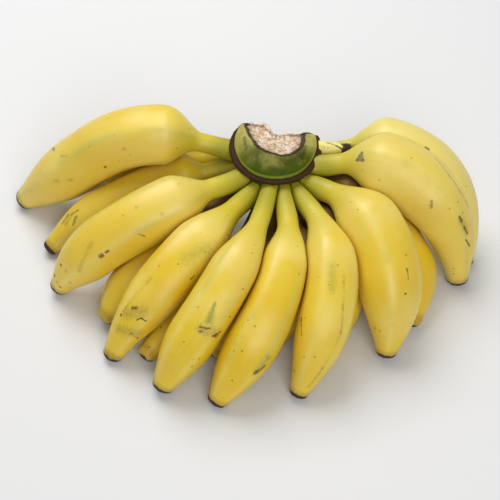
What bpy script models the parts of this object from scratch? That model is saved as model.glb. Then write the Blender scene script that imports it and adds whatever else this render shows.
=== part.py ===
"""A hand of seventeen short, plump bananas on its crown, lying palm down on the fruit tips.

The crown is the crescent of stem that the fruits grow from. Eight fruits fan out of it in an
upper row and nine in a lower row, each bending down to the surface. All lengths are metres
and all angles degrees. An azimuth of 0 points to the front (-Y) and grows towards +X.
"""
import bmesh
import bpy
import numpy as np
from collections import namedtuple

# Height of the dark bract scar round the crown, and the radius that the stalks start from
SCAR_HEIGHT = 0.0613
STALK_ROOT_RADIUS = 0.0270

# Flare of a stalk where it leaves the crown
STALK_FLARE = 0.22
STALK_FLARE_RUN = 0.005

# Dried flower end: a short neck as a share of the taper, and a domed end
NECK_SHARE = 0.10
DOME_RUN = 0.0028
DOME_SHRINK = 0.45

# Five soft ridges run along each fruit
RIDGES = 5
RIDGE_HEIGHT = 0.035
RIDGE_FADE_FROM = 0.4
RIDGE_FADE_RUN = 0.5

# Clearances between solids: fruit to fruit, and fruit to crown
FRUIT_GAP = 0.0005
CROWN_GAP = 0.0008

# Mesh density: rings along a fruit as shares of its length, and points round a ring
STATIONS = (0, 0.05, 0.11, 0.16, 0.205, 0.25, 0.30, 0.36, 0.43, 0.51, 0.59, 0.67,
            0.74, 0.80, 0.855, 0.90, 0.935, 0.963, 0.982, 0.992, 0.9975, 1.0)
BARE_STALK_STATIONS = (0, 0.3, 0.6, 0.9, 1.0)
SIDES = 15
LINE_POINTS = 61
PRESS_STEPS = 15
CROWN_SEGMENTS = 60
SHARP_ANGLE = 50
SMALL = 1e-6

# Crown outline as radius and height above the scar, from the underside out to the scar, then
# the rind as shares of the way from the scar to the cut edge, inwards and upwards
CROWN_WALL = (
    (0.0180, -0.0345), (0.0236, -0.0328), (0.0262, -0.0290), (0.0262, -0.0220),
    (0.0262, -0.0150), (0.0262, -0.0090), (0.0262, -0.0036), (0.0281, -0.0022),
    (0.0284, -0.0004), (0.0270, 0.0014),
)
CROWN_RIND_RISE = ((0.13, 0.36), (0.42, 0.74), (0.76, 0.96), (1.0, 1.0))
CROWN_UNDERSIDE = -0.0345

# Cut edge of the rind as azimuth, radius and height above the scar, and the bare face inside it
CROWN_CUT_EDGE = (
    (-180, 0.0250, 0.0060), (-140, 0.0250, 0.0065), (-126, 0.0225, 0.0080), (-115, 0.0180, 0.0080),
    (-90, 0.0125, 0.0080), (-40, 0.0100, 0.0080), (-5, 0.0105, 0.0080), (25, 0.0135, 0.0080),
    (50, 0.0160, 0.0080), (75, 0.0175, 0.0080), (100, 0.0180, 0.0080), (110, 0.0205, 0.0070),
    (125, 0.0240, 0.0060), (180, 0.0250, 0.0060),
)
CROWN_EDGE_DROP = 0.0010
CROWN_FACE_SHARE = 0.60
CROWN_FACE_HEIGHT = 0.0048

# The back of the crown is a sloping cut that stands further back on the left than on the right
BACK_LEFT = 0.0205
BACK_RIGHT = 0.0115
BACK_STEP_RUN = 0.006
BACK_SLOPE = 0.70
BACK_REACH = 0.040

# The wall and the scar stand a little to the right of and behind the middle of the cut edge,
# and are deeper than they are wide
RING_RIGHT = 0.0008
RING_BACK = 0.0020
RING_DEPTH = 1.07

# How far out the fruits keep from the ring's middle, as height above the scar and radius:
# wide enough at the scar to clear its ridge
CROWN_KEEP_OFF = ((-0.0125, 0.0262), (-0.0075, 0.0284))

# Colours and roughness of the materials
GREEN_STALK = ((0.42, 0.45, 0.05), 0.45)
YELLOW_PEEL = ((0.80, 0.60, 0.09), 0.42)
DRIED_TIP = ((0.045, 0.030, 0.022), 0.85)
CROWN_RIND = ((0.24, 0.31, 0.05), 0.50)
SCAR_BROWN = ((0.075, 0.045, 0.040), 0.80)
CUT_FLESH = ((0.62, 0.47, 0.33), 0.90)
GREEN_STALK_SHARE = 0.13
SCAR_RINGS = 3
DRIED_TIP_RINGS = 3

# The way each fruit goes: it leaves the crown at an azimuth and a drop below the scar, and its
# azimuth and tilt change from a start to an end value along the bent share of its length
Path = namedtuple("Path", "root_azimuth root_drop azimuth_start azimuth_end "
                  "tilt_start tilt_end bend_from bend_to")
PATHS = {
    "banana_upper_1": Path(-104, 0.008, -92, -91, 19, -41, 0.17, 0.54),
    "banana_upper_2": Path(-51, 0.010, -57, -81, 12, -55, 0.11, 0.90),
    "banana_upper_3": Path(-29, 0.014, -34, -56, 10, -55, 0.14, 0.93),
    "banana_upper_4": Path(-5, 0.010, -14, -54, 10, -54, 0.20, 0.86),
    "banana_upper_5": Path(11, 0.012, 6, -52, 7, -50, 0.13, 0.94),
    "banana_upper_6": Path(29, 0.013, 26, -39, 9, -55, 0.14, 0.95),
    "banana_upper_7": Path(48, 0.012, 51, -13, 13, -62, 0.12, 0.95),
    "banana_upper_8": Path(70, 0.006, 85, 22, 14, -74, 0.13, 0.94),
    "banana_lower_1": Path(-120, 0.020, -100, -104, -6, -34, 0.12, 0.95),
    "banana_lower_2": Path(-95, 0.019, -83, -61, -10, -27, 0.15, 0.95),
    "banana_lower_3": Path(-55, 0.021, -49, -46, -12, -22, 0.11, 0.90),
    "banana_lower_4": Path(-14, 0.025, -29, -44, -20, -8, 0.08, 0.78),
    "banana_lower_5": Path(0, 0.024, -12, -36, -12, -24, 0.12, 0.95),
    "banana_lower_6": Path(20, 0.024, 15, -43, -12, -28, 0.12, 0.95),
    "banana_lower_7": Path(42, 0.024, 36, -34, -12, -23, 0.12, 0.95),
    "banana_lower_8": Path(67, 0.018, 71, -3, -14, -22, 0.12, 0.88),
    "banana_lower_9": Path(104, 0.013, 95, 14, 15, -64, 0.12, 0.94),
}

# How thick each fruit is: a stalk, a shoulder that swells to the full radius, and a taper down
# to the dried tip
Girth = namedtuple("Girth", "length stalk_radius shoulder_start shoulder_run radius "
                   "taper_run tip_radius ridge_turn")
GIRTHS = {
    "banana_upper_1": Girth(0.162, 0.0060, 0.021, 0.023, 0.0185, 0.053, 0.0070, 20),
    "banana_upper_2": Girth(0.145, 0.0065, 0.022, 0.025, 0.0175, 0.050, 0.0060, 0),
    "banana_upper_3": Girth(0.145, 0.0065, 0.021, 0.037, 0.0160, 0.061, 0.0060, 0),
    "banana_upper_4": Girth(0.155, 0.0060, 0.031, 0.040, 0.0150, 0.043, 0.0065, 0),
    "banana_upper_5": Girth(0.152, 0.0065, 0.028, 0.034, 0.0160, 0.046, 0.0060, 0),
    "banana_upper_6": Girth(0.146, 0.0065, 0.025, 0.038, 0.0165, 0.054, 0.0055, 0),
    "banana_upper_7": Girth(0.136, 0.0070, 0.019, 0.034, 0.0195, 0.052, 0.0060, 0),
    "banana_upper_8": Girth(0.138, 0.0065, 0.016, 0.026, 0.0205, 0.078, 0.0065, 0),
    "banana_lower_1": Girth(0.119, 0.0065, 0.017, 0.022, 0.0170, 0.060, 0.0060, 0),
    "banana_lower_2": Girth(0.130, 0.0060, 0.016, 0.013, 0.0150, 0.047, 0.0050, 0),
    "banana_lower_3": Girth(0.117, 0.0065, 0.018, 0.022, 0.0170, 0.031, 0.0055, 0),
    "banana_lower_4": Girth(0.122, 0.0060, 0.021, 0.024, 0.0165, 0.063, 0.0060, 0),
    "banana_lower_5": Girth(0.104, 0.0065, 0.015, 0.020, 0.0170, 0.054, 0.0060, 0),
    "banana_lower_6": Girth(0.099, 0.0065, 0.014, 0.018, 0.0170, 0.050, 0.0060, 0),
    "banana_lower_7": Girth(0.111, 0.0065, 0.005, 0.018, 0.0170, 0.056, 0.0060, 0),
    "banana_lower_8": Girth(0.120, 0.0065, 0.003, 0.018, 0.0175, 0.040, 0.0060, 0),
    "banana_lower_9": Girth(0.142, 0.0055, 0.021, 0.023, 0.0195, 0.075, 0.0055, 0),
}
Fruit = namedtuple("Fruit", Path._fields + Girth._fields)
FRUITS = {name: Fruit(*PATHS[name], *GIRTHS[name]) for name in PATHS}

# A stalk that never bore a fruit, dried and torn off short
BARE_STALK = Fruit(*Path(95, 0.002, 91, 88, 2, -11, 0.0, 1.0),
                   *Girth(0.0192, 0.0050, 0.0, 1.0, 0.0050, 1.0, 0.0030, 0))
BARE_STALK_SHRINK = 0.45

CentreLine = namedtuple("CentreLine", "run points directions sideways downward")


def clear_scene():
    for old in list(bpy.data.objects):
        bpy.data.objects.remove(old, do_unlink=True)


def make_material(name, finish):
    colour, roughness = finish
    material = bpy.data.materials.new(name)
    material.use_nodes = True
    shader = material.node_tree.nodes["Principled BSDF"]
    shader.inputs["Base Color"].default_value = (*colour, 1.0)
    shader.inputs["Roughness"].default_value = roughness
    shader.inputs["Metallic"].default_value = 0.0
    return material


def smooth_step(share):
    """Ease from 0 to 1 with level ends."""
    share = np.clip(share, 0.0, 1.0)
    return share * share * (3.0 - 2.0 * share)


def unit(vectors):
    return vectors / np.linalg.norm(vectors, axis=-1, keepdims=True)


def centre_line(fruit):
    """Points and directions along a fruit, with a sideways and a downward axis carried along."""
    share = np.linspace(0.0, 1.0, LINE_POINTS)
    bend = np.clip((share - fruit.bend_from) / (fruit.bend_to - fruit.bend_from), 0.0, 1.0)
    azimuth = np.radians(fruit.azimuth_start + (fruit.azimuth_end - fruit.azimuth_start) * bend)
    tilt = np.radians(fruit.tilt_start + (fruit.tilt_end - fruit.tilt_start) * bend)
    directions = np.stack([np.sin(azimuth) * np.cos(tilt),
                           -np.cos(azimuth) * np.cos(tilt),
                           np.sin(tilt)], axis=-1)
    root_azimuth = np.radians(fruit.root_azimuth)
    root = np.array([STALK_ROOT_RADIUS * np.sin(root_azimuth),
                     -STALK_ROOT_RADIUS * np.cos(root_azimuth),
                     SCAR_HEIGHT - fruit.root_drop])
    step = fruit.length / (LINE_POINTS - 1)
    middles = (directions[1:] + directions[:-1]) / 2
    points = np.vstack([root, root + np.cumsum(middles * step, axis=0)])
    sideways = [unit(np.cross(directions[0], (0.0, 0.0, 1.0)))]
    for direction in directions[1:]:
        last = sideways[-1]
        sideways.append(unit(last - direction * np.dot(last, direction)))
    sideways = np.array(sideways)
    return CentreLine(share * fruit.length, points, directions, sideways,
                      np.cross(directions, sideways))


def girth(fruit, run):
    """Radius at a distance along the fruit: stalk, shoulder, full body, taper, dried tip."""
    if fruit is BARE_STALK:
        return fruit.radius * (1.0 - BARE_STALK_SHRINK * (run / fruit.length) ** 2)
    stalk = fruit.stalk_radius * (1.0 + STALK_FLARE * np.exp(-run / STALK_FLARE_RUN))
    shoulder = smooth_step((run - fruit.shoulder_start) / fruit.shoulder_run)
    near = stalk + (fruit.radius - stalk) * shoulder
    left = fruit.length - run
    share = np.clip(left / fruit.taper_run, 0.0, 1.0)
    share = (np.hypot(share, NECK_SHARE) - NECK_SHARE) / (np.hypot(1.0, NECK_SHARE) - NECK_SHARE)
    far = fruit.tip_radius + (fruit.radius - fruit.tip_radius) * np.sin(np.pi / 2 * share)
    inward = 1.0 - np.clip(left / DOME_RUN, 0.0, 1.0)
    dome = 1.0 - DOME_SHRINK * (1.0 - np.sqrt(1.0 - inward ** 2))
    return near * far / fruit.radius * dome


def nearest(line, points):
    """Distance from each point to a centre line, and how far along the line that is."""
    start = line.points[:-1]
    span = line.points[1:] - start
    offset = points[:, None, :] - start[None, :, :]
    along = np.clip(np.sum(offset * span, axis=-1) / np.sum(span * span, axis=-1), 0.0, 1.0)
    gaps = np.linalg.norm(offset - along[..., None] * span, axis=-1)
    best = np.argmin(gaps, axis=1)
    rows = np.arange(len(points))
    step = line.run[1] - line.run[0]
    return gaps[rows, best], (best + along[rows, best]) * step


def pressed_radius(fruit, line, centres, outward, wanted, neighbours):
    """Largest radius along each ray that stays in the fruit's own share of the space.

    Two fruits meet where a point is as deep in one round fruit as in the other, so a pressed
    pair ends in one flat contact face with FRUIT_GAP between them. Found by halving."""
    low = np.zeros(len(centres))
    high = wanted.copy()
    trial = wanted.copy()
    for step in range(PRESS_STEPS):
        points = centres + outward * trial[:, None]
        own_gap, own_run = nearest(line, points)
        own_depth = own_gap - girth(fruit, own_run)
        free = np.ones(len(centres), dtype=bool)
        for other, other_line in neighbours:
            gap, run = nearest(other_line, points)
            free &= (gap - girth(other, run)) - own_depth >= FRUIT_GAP
        low = np.where(free, trial, low)
        high = np.where(free, high, trial)
        trial = (low + high) / 2
        if step == 0 and free.all():
            break
    return low


def keep_off_crown(points):
    """Move points that would enter the crown straight outwards, to CROWN_GAP from it."""
    heights, reaches = zip(*CROWN_KEEP_OFF)
    reach = np.interp(points[..., 2] - SCAR_HEIGHT, heights, reaches) + CROWN_GAP
    middle = np.array([RING_RIGHT, RING_BACK])
    offset = (points[..., :2] - middle) / (1.0, RING_DEPTH)
    distance = np.linalg.norm(offset, axis=-1, keepdims=True)
    scale = np.maximum(1.0, reach[..., None] / np.maximum(distance, SMALL))
    moved = points.copy()
    moved[..., :2] = middle + offset * scale * (1.0, RING_DEPTH)
    return moved


def fruit_rings(fruit, lines, stations):
    """Ring points of one fruit, with both end centres, pressed by its neighbours."""
    line = lines[fruit]
    run = np.array(stations) * fruit.length
    centres = np.stack([np.interp(run, line.run, line.points[:, k]) for k in range(3)], axis=-1)
    sideways = np.stack([np.interp(run, line.run, line.sideways[:, k]) for k in range(3)], -1)
    downward = np.stack([np.interp(run, line.run, line.downward[:, k]) for k in range(3)], -1)
    angle = np.arange(SIDES) * 2 * np.pi / SIDES
    outward = unit(np.cos(angle)[None, :, None] * sideways[:, None, :]
                   + np.sin(angle)[None, :, None] * downward[:, None, :])
    radius = girth(fruit, run)
    fade = smooth_step((radius / fruit.radius - RIDGE_FADE_FROM) / RIDGE_FADE_RUN)
    ridge = np.cos(RIDGES * (angle - np.radians(fruit.ridge_turn)))
    wanted = radius[:, None] * (1.0 + RIDGE_HEIGHT * fade[:, None] * ridge[None, :])
    near = [(other, lines[other]) for other in lines if other is not fruit]
    flat_centres = np.repeat(centres, SIDES, axis=0)
    pressed = pressed_radius(fruit, line, flat_centres, outward.reshape(-1, 3),
                             wanted.ravel(), near)
    rings = flat_centres + outward.reshape(-1, 3) * pressed[:, None]
    rings = keep_off_crown(rings.reshape(len(run), SIDES, 3))
    ends = np.array([centres[0], centres[-1]])
    rings[..., 2] = np.maximum(rings[..., 2], 0.0)
    ends[..., 2] = np.maximum(ends[..., 2], 0.0)
    return rings, keep_off_crown(ends)


def tube_mesh(name, rings, ends):
    """Closed tube through the rings, with a fan of triangles over each end."""
    mesh = bpy.data.meshes.new(name)
    count, sides = rings.shape[:2]
    vertices = np.vstack([rings.reshape(-1, 3), ends])
    faces = []
    for ring in range(count - 1):
        for side in range(sides):
            here = ring * sides + side
            beside = ring * sides + (side + 1) % sides
            faces.append((here, beside, beside + sides))
            faces.append((here, beside + sides, here + sides))
    root_centre = count * sides
    last = (count - 1) * sides
    for side in range(sides):
        beside = (side + 1) % sides
        faces.append((beside, side, root_centre))
        faces.append((last + side, last + beside, root_centre + 1))
    mesh.from_pydata(vertices.tolist(), [], faces)
    work = bmesh.new()
    work.from_mesh(mesh)
    bmesh.ops.recalc_face_normals(work, faces=work.faces)
    work.to_mesh(mesh)
    work.free()
    return mesh


def colour_fruit(mesh, materials, stalk_rings, tip_rings):
    """Green stalk, yellow peel and dried tip, given to the rings of faces in order. The last
    ring holds the fans over both ends, root and tip in turn."""
    for material in materials:
        mesh.materials.append(material)
    slots = np.ones((len(mesh.polygons) // (2 * SIDES), SIDES, 2), dtype=int)
    slots[:stalk_rings] = 0
    slots[-1 - tip_rings:] = 2
    slots[-1, :, 0] = 0
    mesh.polygons.foreach_set("material_index", slots.ravel())


def crown_place(azimuth, radius, ring_share):
    """Where an outline point stands. The ring's share of it is 1 on the wall and the scar and
    falls to 0 at the cut edge."""
    depth = 1.0 + ring_share * (RING_DEPTH - 1.0)
    return (radius * np.sin(azimuth) + ring_share * RING_RIGHT,
            -radius * np.cos(azimuth) * depth + ring_share * RING_BACK)


def back_reach(azimuth, height, ring_share):
    """How far the crown reaches from its axis before the back cut, found by halving."""
    low = np.zeros_like(height)
    high = np.full_like(height, BACK_REACH)
    for _ in range(PRESS_STEPS):
        trial = (low + high) / 2
        across, back = crown_place(azimuth, trial, ring_share)
        step = smooth_step(-across / BACK_STEP_RUN)
        inside = back < BACK_RIGHT + (BACK_LEFT - BACK_RIGHT) * step - BACK_SLOPE * height
        low = np.where(inside, trial, low)
        high = np.where(inside, high, trial)
    return low


def crown_outline():
    """Radius, height above the scar and the ring's share of each outline point, at every
    azimuth."""
    degrees, radii, heights = np.array(CROWN_CUT_EDGE).T
    turn = np.arange(CROWN_SEGMENTS) * 360 / CROWN_SEGMENTS - 180
    edge_radius = np.interp(turn, degrees, radii)
    edge_height = np.interp(turn, degrees, heights)
    scar_radius, scar_height = CROWN_WALL[-1]
    same = np.ones_like(turn)
    outline = [(radius * same, height * same, same) for radius, height in CROWN_WALL]
    outline += [(scar_radius + (edge_radius - scar_radius) * inward,
                 scar_height + (edge_height - scar_height) * upward, (1.0 - inward) * same)
                for inward, upward in CROWN_RIND_RISE]
    outline += [(edge_radius - CROWN_EDGE_DROP, edge_height - CROWN_EDGE_DROP, 0 * same),
                (edge_radius * CROWN_FACE_SHARE, CROWN_FACE_HEIGHT * same, 0 * same)]
    radius, height, ring_share = np.array(outline).transpose(1, 0, 2)
    return np.radians(turn), radius, height, ring_share


def crown_mesh():
    """The outline carried round the axis, held back everywhere by the back cut. Returns the
    mesh and, for each ring of faces, which points lie on that cut."""
    azimuth, radius, height, ring_share = crown_outline()
    reach = back_reach(np.broadcast_to(azimuth, radius.shape), height, ring_share)
    held = radius > reach
    radius = np.minimum(radius, reach)
    top = len(CROWN_WALL)
    radius[top:] = np.minimum.accumulate(radius[top - 1:], axis=0)[1:]
    across, back = crown_place(azimuth, radius, ring_share)
    rings = np.stack([across, back, SCAR_HEIGHT + height], axis=-1)
    ends = np.array([(RING_RIGHT, RING_BACK, SCAR_HEIGHT + CROWN_UNDERSIDE),
                     (0.0, 0.0, SCAR_HEIGHT + CROWN_FACE_HEIGHT)])
    return tube_mesh("crown", rings, ends), held


def colour_crown(mesh, materials, held):
    """Rind below and round the cushion, brown on the scar, bare flesh on both cuts."""
    for material in materials:
        mesh.materials.append(material)
    rings = len(held)
    slots = np.zeros((rings - 1, CROWN_SEGMENTS, 2), dtype=int)
    top = len(CROWN_WALL) - 1
    slots[top - SCAR_RINGS:top] = 1
    slots[top + len(CROWN_RIND_RISE):] = 2
    slots[held[:-1] & held[1:]] = 2
    ends = np.zeros((CROWN_SEGMENTS, 2), dtype=int)
    ends[:, 1] = 2
    mesh.polygons.foreach_set("material_index", np.concatenate([slots.ravel(), ends.ravel()]))


def add_object(name, mesh, parent):
    thing = bpy.data.objects.new(name, mesh)
    thing.parent = parent
    bpy.context.collection.objects.link(thing)
    mesh.shade_smooth()
    mesh.set_sharp_from_angle(angle=np.radians(SHARP_ANGLE))
    return thing


def centre_on_origin(objects):
    """Slide the meshes so that the hand's box is centred over the origin, base at 0."""
    corners = np.vstack([[vertex.co for vertex in thing.data.vertices] for thing in objects])
    middle = (corners.min(axis=0) + corners.max(axis=0)) / 2
    for thing in objects:
        for vertex in thing.data.vertices:
            vertex.co.x -= middle[0]
            vertex.co.y -= middle[1]


def build():
    clear_scene()
    hand = bpy.data.objects.new("hand", None)
    bpy.context.collection.objects.link(hand)
    stalk = make_material("green_stalk", GREEN_STALK)
    peel = make_material("yellow_peel", YELLOW_PEEL)
    tip = make_material("dried_tip", DRIED_TIP)
    rind = make_material("crown_rind", CROWN_RIND)
    scar = make_material("scar_brown", SCAR_BROWN)
    flesh = make_material("cut_flesh", CUT_FLESH)

    lines = {fruit: centre_line(fruit) for fruit in (*FRUITS.values(), BARE_STALK)}
    stalk_rings = sum(share < GREEN_STALK_SHARE for share in STATIONS)
    objects = []
    for name, fruit in FRUITS.items():
        mesh = tube_mesh(name, *fruit_rings(fruit, lines, STATIONS))
        colour_fruit(mesh, (stalk, peel, tip), stalk_rings, DRIED_TIP_RINGS)
        objects.append(add_object(name, mesh, hand))
    bare = tube_mesh("bare_stalk", *fruit_rings(BARE_STALK, lines, BARE_STALK_STATIONS))
    colour_fruit(bare, (stalk, peel, tip), 0, 1)
    objects.append(add_object("bare_stalk", bare, hand))
    crown, held = crown_mesh()
    colour_crown(crown, (rind, scar, flesh), held)
    objects.append(add_object("crown", crown, hand))
    centre_on_origin(objects)


build()
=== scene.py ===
# %% [markdown]
# A hand of bananas
#
# A hand is one cluster of a banana bunch: a crescent of stem, called the crown, with two rows
# of fruits growing out of it. This one has seventeen short, plump, ripe fruits. It lies palm
# down, so it rests on the dried tips of the fruits and shows their long sunny backs.
#
# The solids that carry the object are already made. They come in as a fixed frame, and every
# surface below is a finer skin for one of them, in the same place and at the same size.

# %% Load the frame
from collections import namedtuple
import bpy
import numpy as np
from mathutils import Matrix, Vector
from mathutils.bvhtree import BVHTree


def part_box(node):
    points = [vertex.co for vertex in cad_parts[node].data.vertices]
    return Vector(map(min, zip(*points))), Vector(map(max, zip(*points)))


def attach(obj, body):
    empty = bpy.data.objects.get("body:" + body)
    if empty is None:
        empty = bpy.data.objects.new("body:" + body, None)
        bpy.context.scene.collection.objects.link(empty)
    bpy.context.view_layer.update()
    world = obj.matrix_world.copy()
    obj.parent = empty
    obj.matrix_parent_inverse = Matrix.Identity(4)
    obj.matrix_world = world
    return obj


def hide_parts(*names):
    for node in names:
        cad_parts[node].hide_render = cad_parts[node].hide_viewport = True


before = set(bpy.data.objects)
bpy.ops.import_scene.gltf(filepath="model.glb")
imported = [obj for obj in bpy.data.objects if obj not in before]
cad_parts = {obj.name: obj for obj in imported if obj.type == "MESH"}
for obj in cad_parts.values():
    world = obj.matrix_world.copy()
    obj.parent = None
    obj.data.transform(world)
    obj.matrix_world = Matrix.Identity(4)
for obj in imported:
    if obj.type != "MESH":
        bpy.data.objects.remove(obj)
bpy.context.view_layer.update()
print("solids in the frame:", len(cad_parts))

# %% [markdown]
# Where the crown stands
#
# The fruits are laid out from the middle of the crown, so that point comes first. The crown's
# solid is widest at its scar, on the left, on the right and in front, so its box gives the
# upright axis that everything is measured from. The back was cut off and tells nothing. The ring
# of the scar is a little deeper than wide and stands a little to the right of and behind the axis.

# %% The crown's axis
SCAR_RADIUS = 0.0284
SCAR_HEIGHT = 0.0613
STALK_ROOT_RADIUS = 0.0270
RING_RIGHT = 0.0008
RING_BACK = 0.0020
RING_DEPTH = 1.07

crown_low, crown_high = (np.array(corner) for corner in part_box("crown"))
crown_axis = np.array([(crown_low[0] + crown_high[0]) / 2 - RING_RIGHT,
                       crown_low[1] + SCAR_RADIUS * RING_DEPTH - RING_BACK, 0.0])
print("crown axis at", crown_axis.round(4))

# %% [markdown]
# The fruits as bent lines
#
# A banana is easiest to describe by its middle line. It leaves the crown at one azimuth and
# tilt, and both change evenly along the bent stretch until the fruit points down at the table.
# A second table says how thick the fruit is along that line. Each number means something that
# can be seen: where the stalk starts, where it points, how far it turns, where it swells.

# %% The tables of fruits
Path = namedtuple("Path", "root_azimuth root_drop azimuth_start azimuth_end "
                  "tilt_start tilt_end bend_from bend_to")
PATHS = {
    "banana_upper_1": Path(-104, 0.008, -92, -91, 19, -41, 0.17, 0.54),
    "banana_upper_2": Path(-51, 0.010, -57, -81, 12, -55, 0.11, 0.90),
    "banana_upper_3": Path(-29, 0.014, -34, -56, 10, -55, 0.14, 0.93),
    "banana_upper_4": Path(-5, 0.010, -14, -54, 10, -54, 0.20, 0.86),
    "banana_upper_5": Path(11, 0.012, 6, -52, 7, -50, 0.13, 0.94),
    "banana_upper_6": Path(29, 0.013, 26, -39, 9, -55, 0.14, 0.95),
    "banana_upper_7": Path(48, 0.012, 51, -13, 13, -62, 0.12, 0.95),
    "banana_upper_8": Path(70, 0.006, 85, 22, 14, -74, 0.13, 0.94),
    "banana_lower_1": Path(-120, 0.020, -100, -104, -6, -34, 0.12, 0.95),
    "banana_lower_2": Path(-95, 0.019, -83, -61, -10, -27, 0.15, 0.95),
    "banana_lower_3": Path(-55, 0.021, -49, -46, -12, -22, 0.11, 0.90),
    "banana_lower_4": Path(-14, 0.025, -29, -44, -20, -8, 0.08, 0.78),
    "banana_lower_5": Path(0, 0.024, -12, -36, -12, -24, 0.12, 0.95),
    "banana_lower_6": Path(20, 0.024, 15, -43, -12, -28, 0.12, 0.95),
    "banana_lower_7": Path(42, 0.024, 36, -34, -12, -23, 0.12, 0.95),
    "banana_lower_8": Path(67, 0.018, 71, -3, -14, -22, 0.12, 0.88),
    "banana_lower_9": Path(104, 0.013, 95, 14, 15, -64, 0.12, 0.94),
}

Girth = namedtuple("Girth", "length stalk_radius shoulder_start shoulder_run radius "
                   "taper_run tip_radius ridge_turn")
GIRTHS = {
    "banana_upper_1": Girth(0.162, 0.0060, 0.021, 0.023, 0.0185, 0.053, 0.0070, 20),
    "banana_upper_2": Girth(0.145, 0.0065, 0.022, 0.025, 0.0175, 0.050, 0.0060, 0),
    "banana_upper_3": Girth(0.145, 0.0065, 0.021, 0.037, 0.0160, 0.061, 0.0060, 0),
    "banana_upper_4": Girth(0.155, 0.0060, 0.031, 0.040, 0.0150, 0.043, 0.0065, 0),
    "banana_upper_5": Girth(0.152, 0.0065, 0.028, 0.034, 0.0160, 0.046, 0.0060, 0),
    "banana_upper_6": Girth(0.146, 0.0065, 0.025, 0.038, 0.0165, 0.054, 0.0055, 0),
    "banana_upper_7": Girth(0.136, 0.0070, 0.019, 0.034, 0.0195, 0.052, 0.0060, 0),
    "banana_upper_8": Girth(0.138, 0.0065, 0.016, 0.026, 0.0205, 0.078, 0.0065, 0),
    "banana_lower_1": Girth(0.119, 0.0065, 0.017, 0.022, 0.0170, 0.060, 0.0060, 0),
    "banana_lower_2": Girth(0.130, 0.0060, 0.016, 0.013, 0.0150, 0.047, 0.0050, 0),
    "banana_lower_3": Girth(0.117, 0.0065, 0.018, 0.022, 0.0170, 0.031, 0.0055, 0),
    "banana_lower_4": Girth(0.122, 0.0060, 0.021, 0.024, 0.0165, 0.063, 0.0060, 0),
    "banana_lower_5": Girth(0.104, 0.0065, 0.015, 0.020, 0.0170, 0.054, 0.0060, 0),
    "banana_lower_6": Girth(0.099, 0.0065, 0.014, 0.018, 0.0170, 0.050, 0.0060, 0),
    "banana_lower_7": Girth(0.111, 0.0065, 0.005, 0.018, 0.0170, 0.056, 0.0060, 0),
    "banana_lower_8": Girth(0.120, 0.0065, 0.003, 0.018, 0.0175, 0.040, 0.0060, 0),
    "banana_lower_9": Girth(0.142, 0.0055, 0.021, 0.023, 0.0195, 0.075, 0.0055, 0),
}
Fruit = namedtuple("Fruit", Path._fields + Girth._fields)
FRUITS = {name: Fruit(*PATHS[name], *GIRTHS[name]) for name in PATHS}
BARE_STALK = Fruit(*Path(95, 0.002, 91, 88, 2, -11, 0.0, 1.0),
                   *Girth(0.0192, 0.0050, 0.0, 1.0, 0.0050, 1.0, 0.0030, 0))
print("fruits:", len(FRUITS))

# %% [markdown]
# From numbers to a line
#
# The direction at each step is worked out from azimuth and tilt, and the points are the running
# sum of the steps. Two side axes travel along with the line, each new one being the last one
# with the part along the new direction taken out. That keeps the ridges of the fruit straight
# instead of letting them wind round it.

# %% Centre lines
LINE_POINTS = 61
CentreLine = namedtuple("CentreLine", "run points directions sideways downward")


def unit(vectors):
    """Vectors divided by their own lengths."""
    return vectors / np.linalg.norm(vectors, axis=-1, keepdims=True)


def smooth_step(share):
    """Ease from 0 to 1 with level ends: three squares less two cubes of the share."""
    share = np.clip(share, 0.0, 1.0)
    return share * share * (3.0 - 2.0 * share)


def centre_line(fruit):
    """Middle line of a fruit: azimuth and tilt turn evenly over the bent stretch, and the
    points are the running sum of the directions times the step."""
    share = np.linspace(0.0, 1.0, LINE_POINTS)
    bend = np.clip((share - fruit.bend_from) / (fruit.bend_to - fruit.bend_from), 0.0, 1.0)
    azimuth = np.radians(fruit.azimuth_start + (fruit.azimuth_end - fruit.azimuth_start) * bend)
    tilt = np.radians(fruit.tilt_start + (fruit.tilt_end - fruit.tilt_start) * bend)
    directions = np.stack([np.sin(azimuth) * np.cos(tilt),
                           -np.cos(azimuth) * np.cos(tilt), np.sin(tilt)], axis=-1)
    root_azimuth = np.radians(fruit.root_azimuth)
    root = crown_axis + (STALK_ROOT_RADIUS * np.sin(root_azimuth),
                         -STALK_ROOT_RADIUS * np.cos(root_azimuth),
                         SCAR_HEIGHT - fruit.root_drop)
    middles = (directions[1:] + directions[:-1]) / 2
    step = fruit.length / (LINE_POINTS - 1)
    points = np.vstack([root, root + np.cumsum(middles * step, axis=0)])
    sideways = [unit(np.cross(directions[0], (0.0, 0.0, 1.0)))]
    for direction in directions[1:]:
        sideways.append(unit(sideways[-1] - direction * np.dot(sideways[-1], direction)))
    sideways = np.array(sideways)
    return CentreLine(share * fruit.length, points, directions, sideways,
                      np.cross(directions, sideways))


lines = {fruit: centre_line(fruit) for fruit in (*FRUITS.values(), BARE_STALK)}
print("longest line %.0f mm" % (1000 * max(line.run[-1] for line in lines.values())))

# %% [markdown]
# How thick the fruit is along its line
#
# A thin stalk flares a little where it leaves the crown. The shoulder swells to the full body.
# The other end tapers like a quarter of a sine wave, and the hyperbola in it leaves a short neck
# before the dried flower end, which is a flat dome. The solids use the same profile, so the skin
# made here fits them.

# %% Girth of a fruit
STALK_FLARE = 0.22
STALK_FLARE_RUN = 0.005
NECK_SHARE = 0.10
DOME_RUN = 0.0028
DOME_SHRINK = 0.45
BARE_STALK_SHRINK = 0.45


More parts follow.
